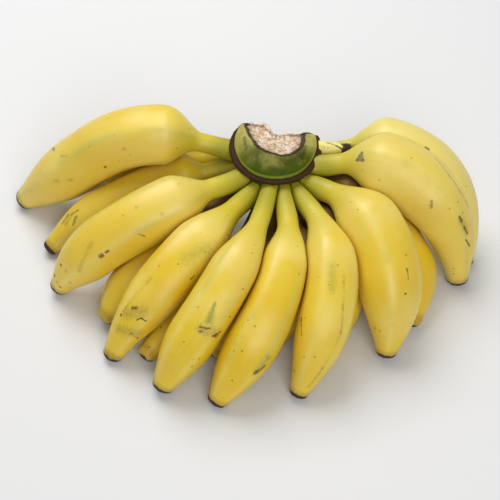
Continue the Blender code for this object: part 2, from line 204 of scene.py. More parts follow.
def girth(fruit, run):
    """Radius at a distance along the fruit: the stalk's radius eased up to the body's, times
    the share that the taper leaves, times a quarter ellipse over the last millimetres."""
    if fruit is BARE_STALK:
        return fruit.radius * (1.0 - BARE_STALK_SHRINK * (run / fruit.length) ** 2)
    flare = np.exp(-np.maximum(run, 0.0) / STALK_FLARE_RUN)
    stalk = fruit.stalk_radius * (1.0 + STALK_FLARE * flare)
    shoulder = smooth_step((run - fruit.shoulder_start) / fruit.shoulder_run)
    near = stalk + (fruit.radius - stalk) * shoulder
    left = fruit.length - run
    share = np.clip(left / fruit.taper_run, 0.0, 1.0)
    share = (np.hypot(share, NECK_SHARE) - NECK_SHARE) / (np.hypot(1.0, NECK_SHARE) - NECK_SHARE)
    far = fruit.tip_radius + (fruit.radius - fruit.tip_radius) * np.sin(np.pi / 2 * share)
    inward = 1.0 - np.clip(left / DOME_RUN, 0.0, 1.0)
    dome = 1.0 - DOME_SHRINK * (1.0 - np.sqrt(1.0 - inward ** 2))
    return near * far / fruit.radius * dome


print("girth at mid length %.1f mm" % (2000 * girth(FRUITS["banana_upper_5"], 0.076)))

# %% [markdown]
# Fruits that press on each other
#
# Bananas swell while they are packed side by side, so the sides that touch grow flat. Each fruit
# is worked out as a round one first. A point belongs to the fruit that it is deeper inside of,
# and the skin stops where the two depths are equal, which leaves one common contact face. A soft
# minimum rounds the edge of that face, as peel does.

# %% Pressing the fruits together
PRESS_STEPS = 10
PRESS_ROUNDING = 0.0030
SKIN_GAP = 0.0001


def nearest(line, points):
    """Distance from each point to a line of short straight steps, and the run of the foot."""
    start = line.points[:-1]
    span = line.points[1:] - start
    offset = points[:, None, :] - start[None, :, :]
    along = np.clip(np.sum(offset * span, axis=-1) / np.sum(span * span, axis=-1), 0.0, 1.0)
    gaps = np.linalg.norm(offset - along[..., None] * span, axis=-1)
    best = np.argmin(gaps, axis=1)
    rows = np.arange(len(points))
    return gaps[rows, best], (best + along[rows, best]) * (line.run[1] - line.run[0])


def neighbours_of(fruit):
    """The fruits whose middle lines come close enough to this one to touch it."""
    reach = fruit.radius + PRESS_ROUNDING
    near = []
    for other, line in lines.items():
        if other is not fruit:
            distance, run = nearest(line, lines[fruit].points)
            if np.min(distance - girth(other, run)) < reach:
                near.append(other)
    return near


def spare_room(fruit, other, points):
    """How much deeper each point is in this fruit than in the other, less the gap kept."""
    own_gap, own_run = nearest(lines[fruit], points)
    gap, run = nearest(lines[other], points)
    return (gap - girth(other, run)) - (own_gap - girth(fruit, own_run)) - SKIN_GAP


def pressed_radius(fruit, centres, outward, wanted):
    """Radius along each ray: the wanted one, held back by a soft minimum where a neighbour's
    share of the space begins. That limit is found by halving an interval ten times."""
    ceiling = wanted + PRESS_ROUNDING
    limit = ceiling.copy()
    for other in neighbours_of(fruit):
        points = centres + outward * limit[:, None]
        touched = np.flatnonzero(spare_room(fruit, other, points) < 0.0)
        low = np.zeros(len(touched))
        high = limit[touched]
        for _ in range(PRESS_STEPS):
            trial = (low + high) / 2
            points = centres[touched] + outward[touched] * trial[:, None]
            free = spare_room(fruit, other, points) >= 0.0
            low = np.where(free, trial, low)
            high = np.where(free, high, trial)
        limit[touched] = low
    blend = np.clip(0.5 + 0.5 * (limit - wanted) / PRESS_ROUNDING, 0.0, 1.0)
    return limit * (1 - blend) + wanted * blend - PRESS_ROUNDING * blend * (1 - blend)


print("neighbours of the middle fruit:", len(neighbours_of(FRUITS["banana_upper_5"])))

# %% [markdown]
# One fruit as a grid
#
# The skin is a function of two parameters, the run along the fruit and the angle round it. Five
# flat sides that meet in rounded ridges change the radius, and so do a few slow ripples.
# The rings lie closer together over the dried dome at the tip, and the grid starts a little way
# inside the crown, so that the stalk grows out of it with no gap.

# %% The skin of a fruit
RINGS = 150
SIDES = 90
DOME_RINGS = 10
FACE_RINGS = 6
RIDGES = 5
RIDGE_HEIGHT = 0.036
RIDGE_ROUNDING = 0.10
FACET_DEPTH = 0.35
RIDGE_FADE_FROM = 0.4
RIDGE_FADE_RUN = 0.5
ROOT_SINK = 0.0035
STUB_START = 0.0008
TORN_FROM = 0.0140
TORN_RUN = 0.0040
TORN_FLARE = 0.45
TORN_SLANT = 0.0020
TIP_DISH = 0.0005
RIPPLES = 6
RIPPLE_HEIGHT = 0.010
CRUST_HEIGHT = 0.055


def along_line(line, run):
    """Points and side axes of a line at given runs. Before its start the line goes straight
    back, and past its end straight on."""
    inside = np.clip(run, 0.0, line.run[-1])
    values = [np.stack([np.interp(inside, line.run, column) for column in array.T], axis=-1)
              for array in (line.points, line.directions, line.sideways, line.downward)]
    centres, directions, sideways, downward = values
    return centres + unit(directions) * (run - inside)[:, None], sideways, downward


def facets(angle):
    """Five flat sides round a fruit: the secant of the angle from the middle of a side, scaled
    to run from minus a third there to 1 on the ridge, whose corner is rounded a little."""
    half = np.pi / RIDGES
    off_ridge = np.abs(np.mod(angle + half, 2 * half) - half)
    off_ridge = np.hypot(off_ridge, RIDGE_ROUNDING) - RIDGE_ROUNDING
    secant = (1 / np.cos(half - off_ridge) - 1) / (1 / np.cos(half) - 1)
    return secant * (1 + FACET_DEPTH) - FACET_DEPTH


def ripple(random, share, angle):
    """Slow unevenness from -1 to 1: the mean of a few waves that run along and round."""
    total = np.zeros((len(share), len(angle)))
    for _ in range(RIPPLES):
        along = random.uniform(1.0, 4.5)
        around = random.integers(0, 4)
        phase = random.uniform(0, 2 * np.pi)
        total += np.cos(2 * np.pi * along * share[:, None] + around * angle[None, :] + phase)
    return total / RIPPLES


def profile(fruit):
    """Runs and radii from the stalk to the middle of the end face: even steps along the body,
    even steps of the ellipse's angle over the dome, even steps of radius over the face."""
    start = STUB_START if fruit is BARE_STALK else -ROOT_SINK
    body = np.linspace(start, fruit.length - DOME_RUN, RINGS)
    dome = fruit.length - DOME_RUN * (1 - np.sin(np.linspace(0, np.pi / 2, DOME_RINGS + 1)[1:]))
    outer = np.concatenate([body, dome])
    inward = np.linspace(0, 1, FACE_RINGS + 1)[1:-1]
    face = fruit.length - TIP_DISH * np.sin(np.pi / 2 * inward)
    radius = girth(fruit, outer)
    return np.concatenate([outer, face]), np.concatenate([radius, radius[-1] * (1 - inward)])


def fruit_grid(fruit, random):
    """Grid of points of one fruit, rings by sides, the centres of its two ends, the share of
    the profile's length that each ring lies at, and the rings' runs along the fruit."""
    run, radius = profile(fruit)
    share = run / fruit.length
    angle = np.arange(SIDES) * 2 * np.pi / SIDES
    centres, sideways, downward = along_line(lines[fruit], run)
    outward = unit(np.cos(angle)[None, :, None] * sideways[:, None, :]
                   + np.sin(angle)[None, :, None] * downward[:, None, :])
    body = smooth_step((radius / fruit.radius - RIDGE_FADE_FROM) / RIDGE_FADE_RUN)[:, None]
    ridge = facets(angle - np.radians(fruit.ridge_turn))[None, :]
    dried = smooth_step((run - (fruit.length - 2 * DOME_RUN)) / DOME_RUN)[:, None]
    wanted = radius[:, None] * (1 + RIDGE_HEIGHT * body * ridge
                                + RIPPLE_HEIGHT * ripple(random, share, angle))
    wanted *= 1 + CRUST_HEIGHT * dried * ripple(random, 6 * share, 3 * angle)
    flat_centres = np.repeat(centres, SIDES, axis=0)
    pressed = pressed_radius(fruit, flat_centres, outward.reshape(-1, 3), wanted.ravel())
    if fruit is BARE_STALK:
        torn = smooth_step((run - TORN_FROM) / TORN_RUN)[:, None]
        flare = TORN_FLARE * torn * (1 + ripple(random, 8 * share, 2 * angle) - np.sin(angle)) / 2
        pressed = pressed * (1 + flare.ravel())
        slant = TORN_SLANT * torn * radius[:, None] / radius[0] * -np.sin(angle)
        flat_centres = flat_centres + lines[fruit].directions[-1] * slant.reshape(-1, 1)
    points = flat_centres + outward.reshape(-1, 3) * pressed[:, None]
    points[:, 2] = np.maximum(points[:, 2], 0.0)
    tip_end = along_line(lines[fruit], np.array([fruit.length - TIP_DISH]))[0]
    steps = np.hypot(np.diff(run, prepend=run[0]), np.diff(radius, prepend=radius[0]))
    travelled = np.cumsum(steps)
    return (points.reshape(len(run), SIDES, 3), np.vstack([centres[:1], tip_end]),
            travelled / travelled[-1], run)


print("rings from root to tip:", len(profile(FRUITS["banana_upper_5"])[0]))

# %% [markdown]
# From a grid to a mesh
#
# A grid that closes round becomes faces by counting: ring i, side j joins ring i + 1, side j + 1.
# The last side joins the first, and a single point closes each end. The UV map keeps the two
# parameters, so a material can follow the fruit from stalk to tip and round its ridges.

# %% Grid to mesh
def closed_mesh(name, grid, ends, along):
    """Mesh of a grid that closes round its second axis, with a fan over each end. U is each
    ring's share along the first axis and V the share round the second."""
    rings, sides = grid.shape[:2]
    ring, side = np.meshgrid(np.arange(rings - 1), np.arange(sides), indexing="ij")
    beside = (side + 1) % sides
    quads = np.stack([ring * sides + side, (ring + 1) * sides + side,
                      (ring + 1) * sides + beside, ring * sides + beside], axis=-1)
    one = np.arange(sides)
    other = (one + 1) % sides
    start = np.stack([one, other, np.full(sides, rings * sides)], axis=-1)
    last = (rings - 1) * sides
    stop = np.stack([last + other, last + one, np.full(sides, rings * sides + 1)], axis=-1)
    mesh = bpy.data.meshes.new(name)
    faces = quads.reshape(-1, 4).tolist() + start.tolist() + stop.tolist()
    mesh.from_pydata(np.vstack([grid.reshape(-1, 3), ends]).tolist(), [], faces)
    u_quad = along[np.stack([ring, ring + 1, ring + 1, ring], axis=-1)]
    v_quad = np.stack([side, side, side + 1, side + 1], axis=-1) / sides
    quad_uv = np.stack([u_quad, v_quad], axis=-1).reshape(-1, 2)
    start_uv = np.stack([np.zeros((sides, 3)),
                         np.stack([one, one + 1, one + 0.5], axis=-1) / sides], axis=-1)
    stop_uv = np.stack([np.ones((sides, 3)),
                        np.stack([one + 1, one, one + 0.5], axis=-1) / sides], axis=-1)
    uv = mesh.uv_layers.new(name="along_and_round")
    values = np.vstack([quad_uv, start_uv.reshape(-1, 2), stop_uv.reshape(-1, 2)])
    uv.data.foreach_set("uv", values.ravel())
    mesh.shade_smooth()
    mesh.validate()
    return mesh


def add_piece(name, mesh, material, node):
    """Link a finished mesh into the scene as the skin of one CAD node."""
    piece = bpy.data.objects.new(name, mesh)
    bpy.context.collection.objects.link(piece)
    mesh.materials.append(material)
    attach(piece, "root")
    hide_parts(node)

# %% [markdown]
# The crown
#
# The crown is the slice of bunch stem that held the hand. Its outline is a green wall, a rough
# ridge where a leaf-like bract once sat, and a rind that leans in to the knife's cut. Where the
# cut runs differs from side to side, so the upper part of the outline changes with the azimuth:
# wide open at the back, closing in towards the front right. That leaves a crescent of rind.

# %% The crown's tables
CROWN_WALL = (
    (0.0180, -0.0345), (0.0236, -0.0328), (0.0262, -0.0290), (0.0262, -0.0220),
    (0.0262, -0.0150), (0.0262, -0.0090), (0.0262, -0.0036), (0.0281, -0.0022),
    (0.0284, -0.0004), (0.0270, 0.0014),
)
CROWN_RIND_RISE = ((0.13, 0.36), (0.42, 0.74), (0.76, 0.96), (1.0, 1.0))
CROWN_CUT_EDGE = (
    (-180, 0.0250, 0.0060), (-140, 0.0250, 0.0065), (-126, 0.0225, 0.0080), (-115, 0.0180, 0.0080),
    (-90, 0.0125, 0.0080), (-40, 0.0100, 0.0080), (-5, 0.0105, 0.0080), (25, 0.0135, 0.0080),
    (50, 0.0160, 0.0080), (75, 0.0175, 0.0080), (100, 0.0180, 0.0080), (110, 0.0205, 0.0070),
    (125, 0.0240, 0.0060), (180, 0.0250, 0.0060),
)
CROWN_EDGE_DROP = 0.0010
CROWN_FACE_SHARE = 0.60
CROWN_FACE_HEIGHT = 0.0048
BACK_LEFT = 0.0205
BACK_RIGHT = 0.0115
BACK_STEP_RUN = 0.006
BACK_SLOPE = 0.70
BACK_REACH = 0.040
BACK_STEPS = 16
OUTLINE_POINTS = 150
CROWN_SIDES = 280
SCAR_CONTROL = 8
EDGE_CONTROL = len(CROWN_WALL) + len(CROWN_RIND_RISE) - 1
WALL_CLOSENESS = 0.35
OUTLINE_SOFTENING = 6
CUT_SOFTENING = 0.0008
SMALL = 0.0002
print("outline controls:", EDGE_CONTROL + 4)

# %% [markdown]
# Lumps
#
# Small unevenness on the crown comes from value noise. Random numbers sit on the corners of a
# cubic lattice, and between them the value is blended with the same ease as everywhere else.

# %% Lumps, and the crown's outline
LATTICE = 24


def lumps(points, size, random):
    """Noise from -1 to 1 with bumps of one size: lattice values blended along the three axes."""
    lattice = random.uniform(-1, 1, (LATTICE, LATTICE, LATTICE))
    cell = np.floor(points / size).astype(int)
    share = smooth_step(points / size - cell)
    total = np.zeros(points.shape[:-1])
    for corner in np.ndindex(2, 2, 2):
        at = (cell + corner) % LATTICE
        weight = np.prod(np.where(corner, share, 1 - share), axis=-1)
        total += weight * lattice[at[..., 0], at[..., 1], at[..., 2]]
    return total


def softened(values, passes):
    """Each row replaced by a quarter, a half and a quarter of itself and its two neighbours,
    a few times over. The first and last rows stay."""
    for _ in range(passes):
        middle = (values[:-2] + 2 * values[1:-1] + values[2:]) / 4
        values = np.concatenate([values[:1], middle, values[-1:]])
    return values


def crown_place(azimuth, radius, ring_share):
    """Where an outline point stands: out along its azimuth, and by the ring's share moved with
    the ring, which is deeper than it is wide and stands back a little."""
    depth = 1.0 + ring_share * (RING_DEPTH - 1.0)
    return (radius * np.sin(azimuth) + ring_share * RING_RIGHT,
            -radius * np.cos(azimuth) * depth + ring_share * RING_BACK)


def back_reach(azimuth, height, ring_share):
    """How far out the crown goes before the knife's cut at its back, found by halving. The cut
    leans forward with height, and stands further back on the left than on the right."""
    low = np.zeros_like(height)
    high = np.full_like(height, BACK_REACH)
    for _ in range(BACK_STEPS):
        trial = (low + high) / 2
        across, back = crown_place(azimuth, trial, ring_share)
        step = smooth_step(-across / BACK_STEP_RUN)
        inside = back < BACK_RIGHT + (BACK_LEFT - BACK_RIGHT) * step - BACK_SLOPE * height
        low = np.where(inside, trial, low)
        high = np.where(inside, high, trial)
    return low


def crown_outline():
    """Azimuths, and for every azimuth the outline's radius, height above the scar, ring's share
    and distances from the scar and past the cut edge, from the underside to the top's middle."""
    turn = np.arange(CROWN_SIDES) * 2 * np.pi / CROWN_SIDES - np.pi
    degrees, radii, heights = np.array(CROWN_CUT_EDGE).T
    edge_radius = np.interp(np.degrees(turn), degrees, radii)
    edge_height = np.interp(np.degrees(turn), degrees, heights)
    scar_radius, scar_height = CROWN_WALL[-1]
    same = np.ones_like(turn)
    controls = [(SMALL * same, CROWN_WALL[0][1] * same, same)]
    controls += [(radius * same, height * same, same) for radius, height in CROWN_WALL]
    controls += [(scar_radius + (edge_radius - scar_radius) * inward,
                  scar_height + (edge_height - scar_height) * upward, (1 - inward) * same)
                 for inward, upward in CROWN_RIND_RISE]
    controls += [(edge_radius - CROWN_EDGE_DROP, edge_height - CROWN_EDGE_DROP, 0 * same),
                 (edge_radius * CROWN_FACE_SHARE, CROWN_FACE_HEIGHT * same, 0 * same),
                 (SMALL * same, CROWN_FACE_HEIGHT * same, 0 * same)]
    radius, height, ring_share = np.array(controls).transpose(1, 0, 2)
    weights = np.where(np.arange(len(controls) - 1) < SCAR_CONTROL - 1, WALL_CLOSENESS, 1.0)
    steps = np.hypot(np.diff(radius, axis=0), np.diff(height, axis=0)).mean(axis=1) * weights
    travelled = np.concatenate([[0.0], np.cumsum(steps)])
    place = np.interp(np.linspace(0, travelled[-1], OUTLINE_POINTS), travelled,
                      np.arange(len(controls)))
    whole = np.minimum(place.astype(int), len(controls) - 2)
    share = (place - whole)[:, None]
    radius, height, ring_share = (
        softened(values[whole] * (1 - share) + values[whole + 1] * share, OUTLINE_SOFTENING)
        for values in (radius, height, ring_share))
    steps = np.hypot(np.diff(radius, axis=0), np.diff(height, axis=0))
    travelled = np.vstack([np.zeros(CROWN_SIDES), np.cumsum(steps, axis=0)])
    scar = travelled[np.argmin(np.abs(place - SCAR_CONTROL - 1))]
    edge = travelled[np.argmin(np.abs(place - EDGE_CONTROL - 1))]
    return turn, radius, height, ring_share, travelled - scar, travelled - edge


print("outline points:", len(crown_outline()[1]))

# %% [markdown]
# The crown's skin
#
# The outline is carried round the axis and held back by the knife's cut behind. Then the surface
# is moved a little along its own normals: broad lumps everywhere, a rough crust on the scar, and
# coarse grains on the bare flesh, where the cut ends of the stem's fibres stand up.

# %% The crown's skin
LUMP_SIZE, LUMP_HEIGHT = 0.0070, 0.00030
CRUST_SIZE, CRUST_RISE = 0.0014, 0.00030
GRAIN_SIZE, GRAIN_RISE = 0.0013, 0.00045
CRUMB_SIZE, CRUMB_RISE = 0.0024, 0.00100
SCAR_HALF = 0.0024
SCAR_EASE = 0.6
FLESH_EASE = 0.0008
RING_RISE = 0.0004
RING_NARROWING = 0.0018
FRONT_FULL, FRONT_END = np.radians(20), np.radians(85)
GROOVE_AT, GROOVE_HALF, GROOVE_DEPTH = 0.0036, 0.0009, 0.0007


def front_share(turn):
    """1 at the front of the crown, easing to 0 towards its horns."""
    return smooth_step((FRONT_END - np.abs(turn)) / (FRONT_END - FRONT_FULL))


def grid_normals(grid):
    """Unit normals of a grid that closes round its second axis: the cross product of its two
    central differences."""
    along = np.gradient(grid, axis=0)
    around = np.roll(grid, -1, axis=1) - np.roll(grid, 1, axis=1)
    normals = np.cross(around, along)
    return normals / np.maximum(np.linalg.norm(normals, axis=-1, keepdims=True), 1e-12)


def crown_grid(random):
    """Grid of the crown with the centres of its ends, its shares along the outline, and the two
    distances that its material is laid out by."""
    turn, radius, height, ring_share, from_scar, past_edge = crown_outline()
    azimuth = np.broadcast_to(turn, radius.shape)
    reach = back_reach(azimuth, height, ring_share)
    held = radius - reach
    blend = np.clip(0.5 + 0.5 * (reach - radius) / CUT_SOFTENING, 0.0, 1.0)
    radius = reach * (1 - blend) + radius * blend - CUT_SOFTENING * blend * (1 - blend)
    top = np.argmax(from_scar.mean(axis=1) > 0)
    radius[top:] = np.minimum.accumulate(radius[top:], axis=0)
    radius = np.maximum(radius, SMALL)
    across, back = crown_place(azimuth, radius, ring_share)
    grid = np.stack([across, back, SCAR_HEIGHT + height], axis=-1)
    flesh = smooth_step(np.maximum(past_edge, held) / FLESH_EASE)
    scar = 1 - smooth_step((np.abs(from_scar) - SCAR_EASE * SCAR_HALF) / (SCAR_EASE * SCAR_HALF))
    scar *= 1 - flesh
    groove_at = GROOVE_AT - RING_NARROWING * front_share(turn)
    rise = (LUMP_HEIGHT * lumps(grid, LUMP_SIZE, random)
            + CRUST_RISE * scar * lumps(grid, CRUST_SIZE, random)
            + GRAIN_RISE * flesh * lumps(grid, GRAIN_SIZE, random)
            + CRUMB_RISE * flesh * lumps(grid, CRUMB_SIZE, random)
            + RING_RISE * scar
            - GROOVE_DEPTH * np.exp(-((from_scar - groove_at) / GROOVE_HALF) ** 2))
    grid = crown_axis + grid + grid_normals(grid) * rise[..., None]
    ends = grid[[0, -1]].mean(axis=1)
    along = from_scar.mean(axis=1) - from_scar.mean(axis=1)[0]
    return grid, ends, along / along[-1], from_scar, np.maximum(past_edge, held)


print("flesh grains stand up to %.2f mm" % (1000 * GRAIN_RISE))

# %% [markdown]
# Colours as they look
#
# The colours below are written as they look on a screen, from 0 to 255. Shaders want light
# energy instead, so each one is turned into linear values with the standard curve.

# %% Screen colour to light
def screen_colour(red, green, blue):
    """Linear RGBA of a screen colour: the share of 255, bent by the standard sRGB curve."""
    share = np.array([red, green, blue]) / 255.0
    light = np.where(share <= 0.04045, share / 12.92, ((share + 0.055) / 1.055) ** 2.4)
    return (*light.tolist(), 1.0)


PEEL_YELLOW = screen_colour(232, 198, 34)
# Pale peel colour, used both for pale patches and for painted highlights.
PEEL_PALE_AND_HIGHLIGHT = screen_colour(246, 235, 150)
PEEL_GOLD = screen_colour(224, 174, 16)
STALK_GREEN = screen_colour(152, 148, 8)
STALK_LIME = screen_colour(208, 192, 36)
RIDGE_GREEN = screen_colour(184, 178, 62)
# Dark brown for painted shade.
PAINTED_SHADE_BROWN = screen_colour(92, 50, 10)
TIP_BROWN = screen_colour(78, 54, 44)
TIP_BLACK = screen_colour(30, 24, 22)
SPECK_BROWN = screen_colour(128, 88, 38)
RIND_OLIVE = screen_colour(84, 88, 2)
RIND_LIME = screen_colour(200, 190, 104)
RIND_DEEP = screen_colour(62, 82, 0)
RIND_LINE = screen_colour(146, 156, 56)
SCAR_DARK = screen_colour(36, 22, 18)
SCAR_PURPLE = screen_colour(94, 64, 48)
EDGE_PURPLE = screen_colour(80, 56, 58)
FLESH_TAN = screen_colour(208, 174, 138)
FLESH_PALE = screen_colour(246, 232, 212)
GRAIN_BROWN = screen_colour(112, 76, 48)
print("peel yellow in light", np.round(PEEL_YELLOW[:3], 3))

# %% [markdown]
# Small tools for shader nodes
#
# A material here is a graph of nodes. One helper adds a node and fills its inputs, either with
# a value or with a link from another node. The effects that several materials share are node
# groups with named inputs: a stroke between two places, scattered specks, and soft patches.

# %% Node helpers
def add_node(tree, kind, inputs=None, **options):
    """Add a node, set its options, then link each input that is a socket and set the others."""
    node = tree.nodes.new(kind)
    for key, value in options.items():
        setattr(node, key, value)
    for key, value in (inputs or {}).items():
        if isinstance(value, bpy.types.NodeSocket):
            tree.links.new(value, node.inputs[key])
        else:
            node.inputs[key].default_value = value
    return node


def maths(tree, operation, first, second=0.0, third=0.0, clamp=False):
    """A Math node's result."""
    node = add_node(tree, "ShaderNodeMath", {0: first, 1: second, 2: third},
                    operation=operation, use_clamp=clamp)
    return node.outputs[0]


def vector_maths(tree, operation, first, second=(0.0, 0.0, 0.0), output="Vector"):
    """A Vector Math node's result."""
    node = add_node(tree, "ShaderNodeVectorMath", {0: first, 1: second}, operation=operation)
    return node.outputs[output]


def ramp(tree, value, low, high):
    """A smooth ramp from 0 at low to 1 at high. High may be under low."""
    node = add_node(tree, "ShaderNodeMapRange", {"Value": value, 1: low, 2: high},
                    interpolation_type="SMOOTHSTEP")
    return node.outputs["Result"]


def noise(tree, position, scale, detail=3.0):
    """Noise about 0.5 with the given number of bumps to a metre."""
    node = add_node(tree, "ShaderNodeTexNoise",
                    {"Vector": position, "Scale": scale, "Detail": detail})
    return node.outputs["Fac"]


def mix_colours(tree, share, first, second):
    """Blend of two colours."""
    node = add_node(tree, "ShaderNodeMix", {0: share, 6: first, 7: second}, data_type="RGBA")
    return node.outputs[2]


def glaze(tree, colour, coat, mask, strength):
    """A colour with a coat of another one over it, as thick as the mask times the strength."""
    return mix_colours(tree, maths(tree, "MULTIPLY", mask, strength), colour, coat)


def new_group(name, inputs, output="Mask"):
    """An empty node group with named inputs and one output, and its two end nodes."""
    tree = bpy.data.node_groups.new(name, "ShaderNodeTree")
    for label, kind in inputs.items():
        tree.interface.new_socket(name=label, in_out="INPUT", socket_type=kind)
    tree.interface.new_socket(name=output, in_out="OUTPUT", socket_type="NodeSocketFloat")
    return tree, tree.nodes.new("NodeGroupInput").outputs, tree.nodes.new("NodeGroupOutput")


def use_group(tree, group, inputs):
    """Place a group in a material and return its first output."""
    return add_node(tree, "ShaderNodeGroup", inputs, node_tree=group).outputs[0]


def new_material(name, random):
    """A node material, its tree and shader, the place on the object, that place moved by a
    random shift so that no two pieces show the same noise, and the shift."""
    material = bpy.data.materials.new(name)
    material.use_nodes = True
    tree = material.node_tree
    position = tree.nodes.new("ShaderNodeTexCoord").outputs["Object"]
    shift = tuple(random.uniform(-1, 1, 3))
    place = vector_maths(tree, "ADD", position, shift)
    return material, tree, tree.nodes["Principled BSDF"], position, place, shift


def map_shares(tree):
    """The skin's UV map, and its two shares: along the piece and round it."""
    uv = add_node(tree, "ShaderNodeUVMap", uv_map="along_and_round").outputs[0]
    split = add_node(tree, "ShaderNodeSeparateXYZ", {0: uv})
    return uv, split.outputs[0], split.outputs[1]


BUMP_DEPTH = 0.0004


def emboss(tree, shader, strength, height):
    """Let a height shade the surface as fine relief, through a Bump node."""
    bump = add_node(tree, "ShaderNodeBump",
                    {"Strength": strength, "Distance": BUMP_DEPTH, "Height": height})
    tree.links.new(bump.outputs[0], shader.inputs["Normal"])


VECTOR = "NodeSocketVector"
NUMBER = "NodeSocketFloat"

# %% [markdown]
# A stroke between two places
#
# Scratches, bruises and rubbed patches are all long or short strokes. The distance from a point
# to a straight piece between two ends gives a rounded stroke, and noise added to that distance
# makes its edge ragged. A round spot is a stroke whose two ends are in the same place. A stroke
# can grow thinner towards its end, fade from its core outward, and be mottled.

# %% Stroke group
STROKE_GRAIN = 700.0
MOTTLE_GRAIN = 420.0
stroke_group, given, out = new_group("stroke", {
    "Position": VECTOR, "From": VECTOR, "To": VECTOR, "Width": NUMBER, "Ragged": NUMBER,
    "Taper": NUMBER, "Core": NUMBER, "Mottle": NUMBER})
from_start = vector_maths(stroke_group, "SUBTRACT", given["Position"], given["From"])
whole = vector_maths(stroke_group, "SUBTRACT", given["To"], given["From"])
reach = vector_maths(stroke_group, "DOT_PRODUCT", from_start, whole, "Value")
square = vector_maths(stroke_group, "DOT_PRODUCT", whole, whole, "Value")
square = maths(stroke_group, "MAXIMUM", square, 1e-9)
share = maths(stroke_group, "DIVIDE", reach, square, clamp=True)
foot = add_node(stroke_group, "ShaderNodeVectorMath", {0: whole, "Scale": share},
                operation="SCALE").outputs[0]
off = vector_maths(stroke_group, "SUBTRACT", from_start, foot)
off = vector_maths(stroke_group, "LENGTH", off, output="Value")
thinner = maths(stroke_group, "MULTIPLY", given["Taper"], share)
width = maths(stroke_group, "MULTIPLY", given["Width"],
              maths(stroke_group, "SUBTRACT", 1.0, thinner))
rough = maths(stroke_group, "SUBTRACT", noise(stroke_group, given["Position"], STROKE_GRAIN), 0.5)
rough = maths(stroke_group, "MULTIPLY", rough, given["Ragged"])
ratio = maths(stroke_group, "ADD", maths(stroke_group, "DIVIDE", off, width), rough)
mask = ramp(stroke_group, ratio, 1.0, given["Core"])
holes = ramp(stroke_group, noise(stroke_group, given["Position"], MOTTLE_GRAIN, 6.0), 0.38, 0.66)
kept = maths(stroke_group, "SUBTRACT", 1.0, maths(stroke_group, "MULTIPLY", holes, given["Mottle"]))
stroke_group.links.new(maths(stroke_group, "MULTIPLY", mask, kept), out.inputs[0])
print("stroke group nodes:", len(stroke_group.nodes))

# %% [markdown]
# Scattered specks, and soft patches
#
# Ripe peel carries tiny brown dots. A Voronoi texture gives one cell to each dot, and the cell's
# random colour decides whether it has a dot at all. Larger clouds of colour are plain noise, cut
# by a smooth ramp.

# %% Speck and patch groups
speck_group, given, out = new_group("specks", {
    "Position": VECTOR, "Cells": NUMBER, "Share": NUMBER, "Size": NUMBER})
cells = add_node(speck_group, "ShaderNodeTexVoronoi",
                 {"Vector": given["Position"], "Scale": given["Cells"]})
lucky = add_node(speck_group, "ShaderNodeSeparateColor", {0: cells.outputs["Color"]})
chosen = maths(speck_group, "LESS_THAN", lucky.outputs[0], given["Share"])
size = maths(speck_group, "MULTIPLY", given["Size"], lucky.outputs[1])
ratio = maths(speck_group, "DIVIDE", cells.outputs["Distance"], size)
dot = maths(speck_group, "MULTIPLY", ramp(speck_group, ratio, 1.0, 0.4), chosen)
speck_group.links.new(dot, out.inputs[0])

patch_group, given, out = new_group("patches", {
    "Position": VECTOR, "Scale": NUMBER, "Low": NUMBER, "High": NUMBER})
cloud = add_node(patch_group, "ShaderNodeTexNoise", {
    "Vector": given["Position"], "Scale": given["Scale"], "Detail": 4.0, "Roughness": 0.55})
patch_group.links.new(ramp(patch_group, cloud.outputs["Fac"], given["Low"], given["High"]),
                      out.inputs[0])
print("groups:", [group.name for group in bpy.data.node_groups])

# %% [markdown]
# The camera
#
# The photograph looks down at the hand from the front, at about 50 degrees above the table. A
# 100 mm lens at 850 mm gives the same mild perspective. It is made before the skins because the
# marks on the peel are placed by looking through it.

# %% Camera
PHOTO_SIZE = 500
LENS = 100.0
SENSOR = 36.0
ELEVATION = np.radians(50.0)
DISTANCE = 0.850
AIM = crown_axis + (-0.0150, -0.0551, 0.0297)

forward = np.array([0.0, np.cos(ELEVATION), -np.sin(ELEVATION)])
upward = np.array([0.0, np.sin(ELEVATION), np.cos(ELEVATION)])
eye = AIM - forward * DISTANCE
camera = bpy.data.objects.new("camera", bpy.data.cameras.new("camera"))
camera.data.lens = LENS
camera.data.sensor_width = SENSOR
camera.location = eye
camera.rotation_euler = (np.pi / 2 - ELEVATION, 0.0, 0.0)
bpy.context.collection.objects.link(camera)
bpy.context.scene.camera = camera


def pixel_ray(pixel):
    """Direction from the eye through a pixel of the 500 by 500 photograph."""
    focal = LENS / SENSOR * PHOTO_SIZE
    across = (pixel[0] - PHOTO_SIZE / 2) / focal
    down = (pixel[1] - PHOTO_SIZE / 2) / focal
    return unit(forward + np.array([1.0, 0.0, 0.0]) * across - upward * down)


print("eye at", eye.round(3))
